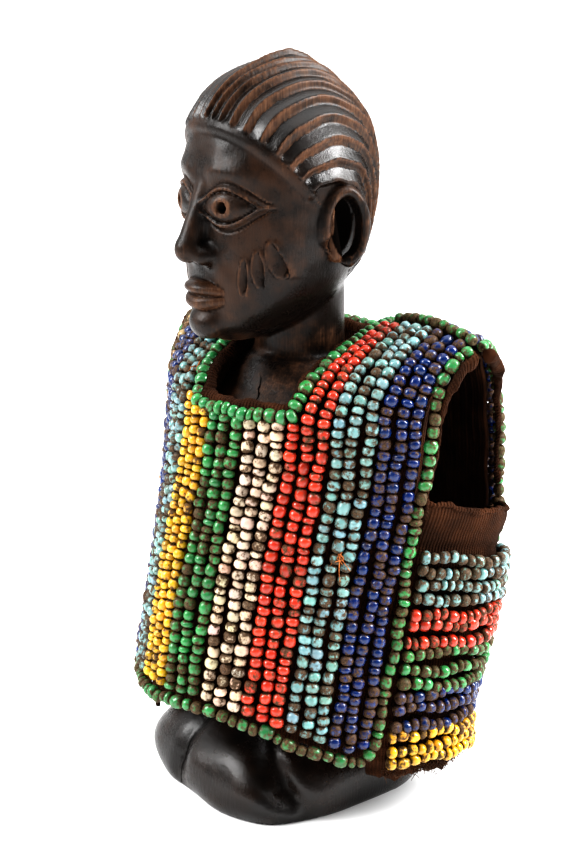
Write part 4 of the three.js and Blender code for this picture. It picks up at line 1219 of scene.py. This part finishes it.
class Beads:
    """Beads gathered for one piece, as rows of centre, axis, normal, half length, radius, colour and
    grime level, and the strings that run through them."""

    def __init__(self):
        self.rows = []
        self.strings = []

    def build(self, name, slot, node):
        centre, axis, normal, half, radius, colour, dirt = (
            np.concatenate([row[n] for row in self.rows]) for n in range(7)
        )
        count = len(centre)
        side = unit(np.cross(axis, normal))
        out = unit(np.cross(side, axis))
        ring_radius, ring_place = BEAD_RINGS.T
        spin = RNG.uniform(0, math.tau, (count, 1)) + circle(BEAD_SIDES)
        oval = 1 + RNG.normal(0, SPREAD["oval"], (count, 1)) * np.cos(2 * circle(BEAD_SIDES))
        boxy = RNG.uniform(-0.35, 0.55, (count, 1))
        in_hole = ring_radius < HOLE
        plump = np.where(in_hole, ring_radius, ring_radius ** (1 - 0.35 * boxy))[:, :, None]
        cosine, sine = np.cos(spin)[:, None, :], np.sin(spin)[:, None, :]
        lean = RNG.normal(0, SPREAD["lean"], (count, 1, 1)) * cosine
        r = radius[:, None, None] * plump * oval[:, None, :]
        along = half[:, None, None] * (ring_place[None, :, None] + lean * plump)
        points = (
            centre[:, None, None, :]
            + axis[:, None, None, :] * along[..., None]
            + side[:, None, None, :] * (r * cosine)[..., None]
            + out[:, None, None, :] * (r * sine)[..., None]
        )
        # Grime, and painted shade where each bead meets its neighbours, darken it towards its ends
        level = dirt[:, None, None] + GRIME_AND_SHADE_AT_ENDS * np.abs(ring_place[None, :, None]) ** 3
        # Each bead is lighter and glossier on its outward face and darker towards the cloth
        level = level - LIGHTER_OUTWARD * (sine * plump)
        level = np.where(in_hole[None, :, None], GRIME_IN_HOLE, level)
        size = len(BEAD_RINGS) * BEAD_SIDES
        starts = np.arange(count) * size
        quads = grid_faces(len(BEAD_RINGS), BEAD_SIDES, closed=True)[None] + starts[:, None, None]
        cap = np.arange(BEAD_SIDES)[None]
        last = cap + starts[:, None] + size - BEAD_SIDES
        faces = [quads.reshape(-1, 4), cap[:, ::-1] + starts[:, None], last]
        colours = np.repeat(colour, size, axis=0)
        vertices = points.reshape(-1, 3)
        levels = level.reshape(-1)
        slots = [0] * sum(len(part) for part in faces)
        for string_points, string_faces in self.strings:
            faces.append(string_faces + len(vertices))
            vertices = np.concatenate([vertices, string_points])
            levels = np.concatenate([levels, np.ones(len(string_points))])
            colours = np.concatenate([colours, np.zeros((len(string_points), 3))])
            slots += [1] * len(string_faces)
        looks = {"dirt": levels}, {"bead_colour": colours}
        piece = make_mesh(name, to_figure(vertices), faces, [GLASS, STRING], *looks, slots)
        add_piece(piece, slot, node)


def tube(path, radius, sides, normal):
    """Points and faces of a thin round tube along a path."""
    tangent = unit(np.gradient(path, axis=0))
    side = unit(np.cross(tangent, np.array(normal) + 1e-4))
    radius = np.broadcast_to(radius, len(path))
    ring = ring_vectors(circle(sides), side, np.cross(side, tangent))
    points = path[:, None] + ring * radius[:, None, None]
    return points.reshape(-1, 3), grid_faces(len(path), sides, closed=True)[:, ::-1]


def arc_lengths(path):
    return np.concatenate([[0], np.cumsum(np.linalg.norm(np.diff(path, axis=0), axis=1))])


def along_path(lengths, values, at):
    return np.stack([np.interp(at, lengths, values[:, n]) for n in range(values.shape[1])], 1)


def string_beads(beads, path, normals, colour, style):
    """Threads beads of uneven length along a path until it is full."""
    pitch, radius, spread, more_dirt, stray = style
    glass, dirt, buried_share = PALETTE[colour]
    lengths = arc_lengths(path)
    total = lengths[-1]
    sizes = []
    while sum(sizes) < total - pitch * 0.4:
        sizes.append(pitch * float(np.clip(RNG.normal(1, SPREAD["length"] * spread), 0.62, 1.45)))
    sizes = np.array(sizes)
    sizes *= total / sizes.sum()
    centre_at = np.cumsum(sizes) - sizes / 2
    count = len(sizes)
    wander = stray * np.sin(centre_at * 0.1 + RNG.uniform(0, math.tau))
    wander = wander + RNG.normal(0, SPREAD["aside"], count)
    wander = wander + stray * 0.6 * np.sin(centre_at * 0.31 + RNG.uniform(0, math.tau))
    centre = along_path(lengths, path, centre_at)
    normal = unit(along_path(lengths, normals, centre_at))
    axis = unit(along_path(lengths, path, centre_at + 0.4) - along_path(lengths, path, centre_at - 0.4))
    side = np.cross(axis, normal)
    ends = smoothstep(0, 6, np.minimum(centre_at, total - centre_at))
    centre = centre + side * (wander * ends)[:, None]
    centre = centre + normal * RNG.normal(0, SPREAD["out"], (count, 1))
    axis = axis + side * RNG.normal(0, SPREAD["tilt"], (count, 1))
    axis = unit(axis + normal * RNG.normal(0, SPREAD["tilt"], (count, 1)))
    width = radius * np.clip(RNG.normal(1, SPREAD["width"] * spread, count), 0.84, 1.13)
    tone = np.array(glass) * np.clip(RNG.normal(1, SPREAD["tone"], (count, 1)), 0.6, 1.3)
    tone = np.clip(tone * np.clip(RNG.normal(1, SPREAD["hue"], (count, 3)), 0.85, 1.15), 0, 0.95)
    # Lower down, more beads are wholly dark brown, so the tunic grows darker towards the bottom
    low = smoothstep(80, 45, centre[:, 2])
    buried = RNG.random(count) < buried_share + more_dirt + 0.14 * low
    grime = dirt + more_dirt * 0.5 + RNG.normal(0, SPREAD["grime"], count) + 0.36 * buried
    beads.rows.append((centre, axis, normal, sizes * 0.475, width, tone, np.clip(grime, -0.1, 1.0)))
    cord = along_path(lengths, path, np.linspace(0.5, total - 0.5, max(4, int(total / 4))))
    beads.strings.append(tube(cord, CORD_RADIUS, CORD_SIDES, normals[len(normals) // 2]))


# First and last string of each group, which is named by its colour
PANEL_GROUPS = {
    "blue": (1, 3),
    "lightblue": (4, 6),
    "red": (7, 9),
    "white": (10, 12),
    "green": (13, 15),
    "yellow": (16, 18),
    "lightblue_far": (19, 21),
    "blue_far": (22, 24),
    "pale_far": (25, 25),
}
GUSSET_GROUPS = {"lightblue": (0, 3), "red": (4, 6), "green": (7, 9), "blue": (10, 12), "yellow": (13, 15)}
FACES = ((FRONT, "front"), (BACK, "back"))
SIDES = ((LEFT, "left"), (RIGHT, "right"))


def low_end(face, strand):
    """Rise at which a string starts above the hem edging, which turns a round corner at either end."""
    from_edge = min(strand, STRAND_COUNT - 1 - strand) * STRAND_PITCH
    short = max(0.0, HEM_CORNER_RADIUS - from_edge)
    inner = HEM_CORNER_RADIUS - EDGING_CLEARANCE
    height = HEM_CORNER_RADIUS - math.sqrt(max(0.0, inner ** 2 - short ** 2))
    return (height + 0.4) / (BEND["z"] - hem_height(face, np.array([float(strand)]))[0])


def strand_spans(face, strand):
    """Stretches of rise that a string covers, cut where the neck opening takes it out."""
    rises = np.linspace(low_end(face, strand), BAND_TOP_RISE + 0.06, 160)
    first, last = opening_limits(face, rises, EDGING_CLEARANCE / STRAND_PITCH)
    free = (strand <= first) | (strand >= last)
    breaks = np.flatnonzero(np.diff(free.astype(int)))
    spans = np.split(np.arange(len(rises)), breaks + 1)
    return [rises[span] for span in spans if free[span[0]] and len(span) > 8]


def build_panel_beads(face, label):
    for name, (first, last) in PANEL_GROUPS.items():
        beads = Beads()
        colour = name.removesuffix("_far")
        style = YELLOW_STRING if colour == "yellow" else PANEL_STRING
        for strand in range(first, last + 1):
            for rises in strand_spans(face, strand):
                point, normal, _ = panel_frame(face, strand, rises)
                string_beads(beads, point, normal, colour, style)
        beads.build(f"{label}_{name}_beads", f"bead_{colour}", f"beads_{label}_{name}")


def build_gusset_beads(side, label):
    share = np.linspace(0.06, 0.94, 60)
    for colour, (first, last) in GUSSET_GROUPS.items():
        beads = Beads()
        for row in range(first, last + 1):
            droop = 1.5 * np.sin(share * math.pi * RNG.uniform(0.8, 1.6)) * RNG.uniform(-0.7, 1.0)
            droop = droop + 0.5 * np.sin(share * RNG.uniform(12, 20) + RNG.uniform(0, math.tau))
            z = GUSSET["first_row"] - row * GUSSET["pitch"] - droop
            point, normal, _ = gusset_frame(side, share, z)
            string_beads(beads, point, normal, colour, GUSSET_STRING)
        beads.build(f"gusset_{label}_{colour}_beads", f"bead_{colour}", f"beads_gusset_{label}_{colour}")


def smooth_path(corners, count, closed=False):
    """A smooth curve through corner points, evenly spaced along its length."""
    corners = np.asarray(corners, float)
    if closed:
        corners = np.concatenate([corners[-2:], corners, corners[:3]])
    else:
        first, last = 2 * corners[0] - corners[1], 2 * corners[-1] - corners[-2]
        corners = np.concatenate([[first], corners, [last]])
    pieces = []
    for a, b, c, d in zip(corners[:-3], corners[1:-2], corners[2:-1], corners[3:]):
        t = np.linspace(0, 1, 16, endpoint=False)[:, None]
        pieces.append(0.5 * (2 * b + (c - a) * t + (2 * a - 5 * b + 4 * c - d) * t ** 2
                             + (3 * b - a - 3 * c + d) * t ** 3))
    path = np.concatenate(pieces)
    if closed:
        path = path[16:-16]
        path = np.concatenate([path, path[:1]])
    else:
        path = np.concatenate([path, corners[-2:-1]])
    lengths = arc_lengths(path)
    return along_path(lengths, path, np.linspace(0, lengths[-1], count))


def edging_path(face):
    """Points and normals down one armhole edge, along the hem with round corners and up the other."""
    last = STRAND_COUNT - 1
    corner_rise = HEM_CORNER_RADIUS / 100
    corner = HEM_CORNER_RADIUS / STRAND_PITCH
    rises = [1.93, 1.7, 1.4, 1.15, 0.9, 0.6, 0.3, corner_rise]
    places = [(0, rise) for rise in rises] + [(corner * 0.3, corner_rise * 0.3)]
    places += [(lerp(corner, last - corner, i / 6), 0) for i in range(7)]
    places += [(last - corner * 0.3, corner_rise * 0.3)] + [(last, rise) for rise in reversed(rises)]
    strand, rise = np.array(places, float).T
    point, normal, _ = panel_frame(face, strand, rise)
    return smooth_path(point, 300), unit(smooth_path(normal, 300))


def neck_path():
    frames = [panel_frame(face, [strand], [rise]) for face, strand, rise in opening_places()]
    point = np.concatenate([frame[0] for frame in frames])
    normal = np.concatenate([frame[1] for frame in frames])
    return smooth_path(point, 240, closed=True), unit(smooth_path(normal, 240, closed=True))


def seam_path(first, last):
    strand = np.linspace(first, last, 30)
    return shoulder_point(strand, 0) + 1.2 * UP, np.tile(UP, (30, 1))


def build_edgings():
    edgings = [(label, edging_path(face), EDGE_STRING) for face, label in FACES]
    edgings.append(("neck", neck_path(), NECK_STRING))
    edgings += [(f"shoulder_{label}", seam_path(*span), SEAM_STRING) for label, span in SEAM_SPANS.items()]
    for label, (path, normals), style in edgings:
        beads = Beads()
        string_beads(beads, path, normals, "green", style)
        beads.build(f"{label}_edging_beads", "bead_green", f"edging_{label}")


# Cloth


def add_cloth(name, points, faces, warp, weft, *nodes):
    """A cotton piece, from points in the tunic's own frame and their places along the weave."""
    piece = make_mesh(name, to_figure(points), faces, [COTTON], {"warp": warp, "weft": weft})
    return add_piece(piece, "cloth", *nodes)


def running_length(points, axis):
    """Distance that each point of a grid has come along its row or column."""
    start = points[:, :1] if axis == 1 else points[:1]
    return np.cumsum(np.linalg.norm(np.diff(points, axis=axis, prepend=start), axis=2), axis=axis)


def cloth_shell(grid, place, kept=None):
    """Points, faces and weave places of a thin closed cloth over a grid of (row, column) shares, with
    the faces that kept refuses left out. place gives point, normal and height over the surface."""
    rows, columns = grid
    v, u = np.meshgrid(np.linspace(0, 1, rows), np.linspace(0, 1, columns), indexing="ij")
    v, u = v.ravel(), u.ravel()
    point, normal, height = place(v, u)
    outer = point + normal * height[:, None]
    inner = outer - normal * CLOTH_THICKNESS
    front = grid_faces(rows, columns)
    if kept is not None:
        front = front[kept(v[front].mean(1), u[front].mean(1))]
    edges = np.concatenate([front[:, [n, (n + 1) % 4]] for n in range(4)])
    _, index, counts = np.unique(np.sort(edges, axis=1), axis=0, return_inverse=True, return_counts=True)
    start, end = edges[counts[index.ravel()] == 1].T
    size = rows * columns
    walls = np.stack([end, start, start + size, end + size], 1)
    faces = np.concatenate([front, front[:, ::-1] + size, walls])
    used, compact = np.unique(faces, return_inverse=True)
    points = np.concatenate([outer, inner])[used]
    warp, weft = (
        np.tile(running_length(point.reshape(rows, columns, 3), axis).ravel(), 2)[used] for axis in (1, 0)
    )
    return points, compact.reshape(faces.shape), warp, weft


def rag(values, amount, wavelength, phase):
    """A worn, uneven offset along an edge."""
    return amount * (
        np.sin(values * math.tau / wavelength + phase)
        + 0.6 * np.sin(values * math.tau / (wavelength * 0.37) + phase * 2.1)
        + 0.4 * np.sin(values * math.tau / (wavelength * 0.17) + phase * 3.7)
    )


def build_panel_cloth(face, label):
    def strand_rise(v, u):
        strand = lerp(0.15, STRAND_COUNT - 1.15, u if face == BACK else 1 - u)
        return strand, v * 1.995

    def place(v, u):
        strand, rise = strand_rise(v, u)
        point, normal, _ = panel_frame(face, strand, rise)
        quilted = 0.65 * np.cos(strand * math.tau)
        rumple = 0.3 * np.sin(point[:, 2] * 0.31 + strand * 0.9) * np.sin(strand * 0.53 + 1.0)
        return point, normal, CLOTH_OUTER - 0.45 - quilted + rumple

    def kept(v, u):
        strand, rise = strand_rise(v, u)
        first, last = opening_limits(face, rise, 0.0)
        return ~((strand > first) & (strand < last) & (first < last))

    points, faces, warp, weft = cloth_shell(PANEL_GRID, place, kept)
    faces = faces[:, ::-1] if face == FRONT else faces
    return add_cloth(f"{label}_panel_cloth", points, [faces], warp, weft, f"cloth_{label}")


def build_gusset_cloth(side, label):
    def place(v, u):
        share = lerp(-0.035, 1.035, u if side == LEFT else 1 - u)
        z = lerp(GUSSET["bottom"] - 1.5, GUSSET["top"] + 0.5, v)
        z = z + rag(share * 55, 1.1, 19.0, 1.0 + side) * smoothstep(0.12, 0.0, v)
        point, normal, _ = gusset_frame(side, share, z)
        tape = smoothstep(0.80, 0.98, v)
        flare = 2.6 * tape ** 2 + 0.8 * tape * np.sin(share * 8.0 + side)
        z = z + tape * 0.9 * np.sin(share * 7.0 + 2.0)
        quilted = 0.3 * np.cos((GUSSET["first_row"] - z) / GUSSET["pitch"] * math.tau) * (1 - tape)
        tucked = 1.8 * smoothstep(0.05, 0.0, np.minimum(share, 1 - share))
        return point, normal, CLOTH_OUTER - 0.5 + quilted + flare - tucked

    points, faces, warp, weft = cloth_shell(GUSSET_GRID, place)
    return add_cloth(f"gusset_{label}_cloth", points, [faces], warp, weft, f"cloth_gusset_{label}")


def cloth_roll(name, path, normals, radius, phase):
    """A rolled and stitched cloth edge along a path; its radius may change along the way."""
    count = len(path)
    at = arc_lengths(path)
    tangent = unit(np.gradient(path, axis=0))
    side = np.cross(tangent, normals)
    wander = rag(at, 0.42, 23.0, phase)
    centre = path + normals * (0.4 * wander)[:, None] + side * wander[:, None]
    thick = radius * (1 + rag(at, 0.1, 11.0, phase + 1.0))
    angle = circle(ROLL_SIDES)
    lumpy = 1 + 0.1 * np.sin(angle[None] * 3 + at[:, None] * 0.4)
    ring = ring_vectors(angle, side, normals)
    points = (centre[:, None] + ring * (thick[:, None] * lumpy)[..., None]).reshape(-1, 3)
    first = np.arange(ROLL_SIDES)[None]
    last = first[:, ::-1] + (count - 1) * ROLL_SIDES
    faces = [grid_faces(count, ROLL_SIDES, closed=True)[:, ::-1], first, last]
    return add_cloth(name, points, faces, np.repeat(at, ROLL_SIDES), np.tile(angle * np.mean(radius), count))


def beside(path, normals, away_from):
    """Unit vectors in the cloth's surface, square to a path and pointing away from a point."""
    side = unit(np.cross(unit(np.gradient(path, axis=0)), normals))
    return side * np.sign(((path - away_from) * side).sum(1))[:, None]


def collar_facing(path):
    """The lining that hangs down inside the neck ring all the way round."""
    path = path[:-1]
    rows = FACING["rows"]
    drop = np.linspace(0, FACING["drop"], rows)[:, None, None]
    along = np.arange(len(path))[None, :, None]
    ripple = 0.7 * np.sin(along * 0.21) + 0.4 * np.sin(along * 0.53 + 1.0)
    outwards = unit((path - path.mean(0)) * np.array([1.0, 1.0, 0.0]))[None]
    lean = FACING["slant"] * drop + ripple * drop / FACING["drop"]
    outer = path[None] + DOWN * drop + outwards * lean
    inner = outer - outwards * CLOTH_THICKNESS
    shell = np.concatenate([outer, inner[::-1]])
    around = grid_faces(2 * rows, len(path), closed=True)
    top = np.arange(len(path))
    after = (top + 1) % len(path)
    last = (2 * rows - 1) * len(path)
    seam = np.stack([last + top, last + after, after, top], 1)
    warp = np.tile(arc_lengths(path), 2 * rows)
    weft = np.repeat(np.concatenate([drop.ravel(), drop.ravel()[::-1]]), len(path))
    return add_cloth("collar_facing", shell.reshape(-1, 3), [around, seam], warp, weft)


def build_rolls():
    """Rolled edges inside the neck ring and the armholes, and along the tape of each gusset."""
    path, normals = neck_path()
    inward = -beside(path, normals, path.mean(0))
    collar = cloth_roll("collar_roll", path + inward * 2.6 - normals * 2.0, normals, 2.1, 0.3)
    facing = collar_facing(path + inward * 1.2 - normals * 2.0)
    rolls = {"front": [collar, facing], "back": []}
    for face, label in FACES:
        path, normals = edging_path(face)
        outward = beside(path, normals, path.mean(0))
        arms = np.flatnonzero(path[:, 2] > GUSSET["top"] - 4)
        runs = np.split(arms, np.flatnonzero(np.diff(arms) > 1) + 1)
        for run, (_, side_label) in zip(runs, SIDES):
            thick = lerp(1.2, 2.3, smoothstep(125, 160, path[run, 2]))
            middle = path[run] + outward[run] * (thick + 0.3)[:, None]
            middle = middle - normals[run] * (thick + 0.8)[:, None]
            name = f"{label}_{side_label}_armhole_roll"
            rolls[label].append(cloth_roll(name, middle, normals[run], thick, 1.7))
    for side, label in SIDES:
        share = np.linspace(0.03, 0.97, 90)
        z = GUSSET["top"] + 0.3 + 0.9 * np.sin(share * 7.0 + 2.0)
        point, normal, _ = gusset_frame(side, share, z)
        lean = CLOTH_OUTER + 1.6 + 0.8 * np.sin(share * 8.0 + side)
        name = f"gusset_{label}_tape_lip"
        rolls[f"gusset_{label}"] = [cloth_roll(name, point + normal * lean[:, None], normal, 1.0, 2.4)]
    return rolls


def fibres(name, roots, directions, lengths, radius, curl, material=STRING):
    """Loose fibres: short bent tubes that start at the roots and curl at random."""
    points, faces, base = [], [], 0
    for root, direction, length in zip(roots, directions, lengths):
        t = np.linspace(0, 1, 7)[:, None]
        bend = RNG.normal(0, curl, 3) * length
        twist = RNG.normal(0, curl * 0.5, 3) * length
        path = root + direction * length * t + bend * t ** 2 + twist * np.sin(t * 5.0)
        p, f = tube(path, radius * (1 - 0.5 * t[:, 0]), FIBRE_SIDES, (0.3, 0.2, 1.0))
        points.append(p)
        faces.append(f + base)
        base += len(p)
    piece = make_mesh(name, to_figure(np.concatenate(points)), [np.concatenate(faces)], [material])
    add_piece(piece, "cloth")


def build_frays():
    """Frayed lining under the gussets and the hems, and a few stray orange threads."""
    count, *build = GUSSET_FRAY
    for side, label in SIDES:
        share = RNG.uniform(0.05, 0.95, count)
        z = GUSSET["bottom"] + RNG.uniform(-1.0, 3.0, count)
        point, normal, along = gusset_frame(side, share, z)
        root = point + normal * (CLOTH_OUTER - RNG.uniform(0.2, 1.6, count))[:, None]
        down = DOWN + along * RNG.normal(0, 0.55, count)[:, None]
        down = unit(down + normal * RNG.normal(0.15, 0.3, count)[:, None])
        fibres(f"gusset_{label}_fray", root, down, RNG.uniform(0.7, 2.0, count), *build)
    count, *build = HEM_FRAY
    for face, label in FACES:
        strand = RNG.uniform(1.5, STRAND_COUNT - 2.5, count)
        point, normal, _ = panel_frame(face, strand, 0.004)
        root = point + normal * (CLOTH_OUTER - RNG.uniform(0.2, 1.4, count))[:, None]
        down = unit(DOWN + RNG.normal(0, 0.4, (count, 3)))
        fibres(f"{label}_hem_fray", root, down, RNG.uniform(0.7, 1.8, count), *build)
    count, *build = STRAY_THREADS
    roots, directions = [], []
    for face, strand, rise in THREAD_PLACES:
        point, normal, _ = panel_frame(face, np.full(count, strand), rise)
        roots.append(point + normal * 1.2 + RNG.normal(0, 0.5, point.shape))
        directions.append(unit(normal * 0.9 + RNG.normal(0, 0.5, point.shape) + 0.9 * DOWN))
    roots, directions = np.concatenate(roots), np.concatenate(directions)
    fibres("stray_threads", roots, directions, RNG.uniform(1.6, 3.4, len(roots)), *build, ORANGE)


def build_cloth():
    """The four sheets with their rolled edges."""
    panels = {label: build_panel_cloth(face, label) for face, label in FACES}
    gussets = {label: build_gusset_cloth(side, label) for side, label in SIDES}
    rolls = build_rolls()


# Stage, lights and camera


def build_stage():
    shader = Shader("pale_floor", Roughness=0.75, Specular_IOR_Level=0.25)
    speckle = shader.noise(6.0, 3.0, 0.5)
    colour = shader.mix(shader.remap(speckle, 0.3, 0.7), (0.86, 0.86, 0.86), (0.9, 0.9, 0.9))
    material = shader.finish(Base_Color=colour)
    corners = np.array([[-1, -1, 0], [1, -1, 0], [1, 1, 0], [-1, 1, 0]], float) * FLOOR_HALF
    floor = make_mesh("floor", corners, [np.array([[0, 1, 2, 3]])], [material])


def area_light(name, azimuth, elevation, distance, size, power):
    data = bpy.data.lights.new(name, "AREA")
    data.shape = "RECTANGLE"
    data.size, data.size_y = size
    data.energy = power
    lamp = bpy.data.objects.new(name, data)
    bpy.context.scene.collection.objects.link(lamp)
    offset = Vector(view_direction(math.radians(azimuth), math.radians(elevation))) * distance
    lamp.location = Vector(LIGHT_TARGET) + offset
    lamp.rotation_euler = (-offset).to_track_quat("-Z", "Y").to_euler()


def build_lights():
    """A white room that is brightest overhead and dark on one side, and two soft boxes."""
    world = bpy.data.worlds.new("studio")
    world.use_nodes = True
    bpy.context.scene.world = world
    tree = world.node_tree
    background = tree.nodes["Background"]
    background.inputs["Color"].default_value = (1, 1, 1, 1)
    direction = tree.nodes.new("ShaderNodeTexCoord").outputs["Generated"]

    def towards(axis, *limits):
        """Brightness that changes with the direction's share along an axis."""
        along = tree.nodes.new("ShaderNodeVectorMath")
        along.operation = "DOT_PRODUCT"
        along.inputs[1].default_value = axis
        tree.links.new(direction, along.inputs[0])
        return range_node(tree, along.outputs["Value"], limits).outputs["Result"]

    dark_side = towards(DARK_SIDE, 0.15, 0.7, 0.0, 0.9)
    above_horizon = towards((0, 0, 1), 0.2, 0.34, 0.0, 1.0)
    lit = math_node(tree, "SUBTRACT", 1.0, math_node(tree, "MULTIPLY", dark_side, above_horizon))
    overhead = towards((0, 0, 1), 0.1, 0.95, 0.55, 2.1)
    tree.links.new(math_node(tree, "MULTIPLY", overhead, lit), background.inputs["Strength"])
    for name, light in LIGHTS.items():
        area_light(name, **light)


def build_view():
    """Plain display of the colours with more contrast, for the photograph's deep shadows."""
    bpy.context.scene.view_settings.view_transform = "Standard"
    bpy.context.scene.view_settings.look = "High Contrast"


def build_camera():
    back = view_direction(CAMERA_AZIMUTH, CAMERA_ELEVATION)
    data = bpy.data.cameras.new("camera")
    data.sensor_fit = "VERTICAL"
    data.sensor_height = SENSOR
    data.lens = FOCAL_PIXELS / IMAGE_HEIGHT * SENSOR
    data.shift_y = -TARGET_ABOVE_CENTRE / IMAGE_HEIGHT
    data.clip_start = 0.01
    camera = bpy.data.objects.new("camera", data)
    bpy.context.scene.collection.objects.link(camera)
    camera.location = Vector((CAMERA_TARGET + back * CAMERA_DISTANCE) * MM)
    camera.rotation_euler = Vector(-back).to_track_quat("-Z", "Y").to_euler()
    bpy.context.scene.camera = camera


build_stage()
build_lights()
build_view()
build_camera()
build_figure()
for face, label in FACES:
    build_panel_beads(face, label)
for side, label in SIDES:
    build_gusset_beads(side, label)
build_edgings()
build_cloth()
build_frays()
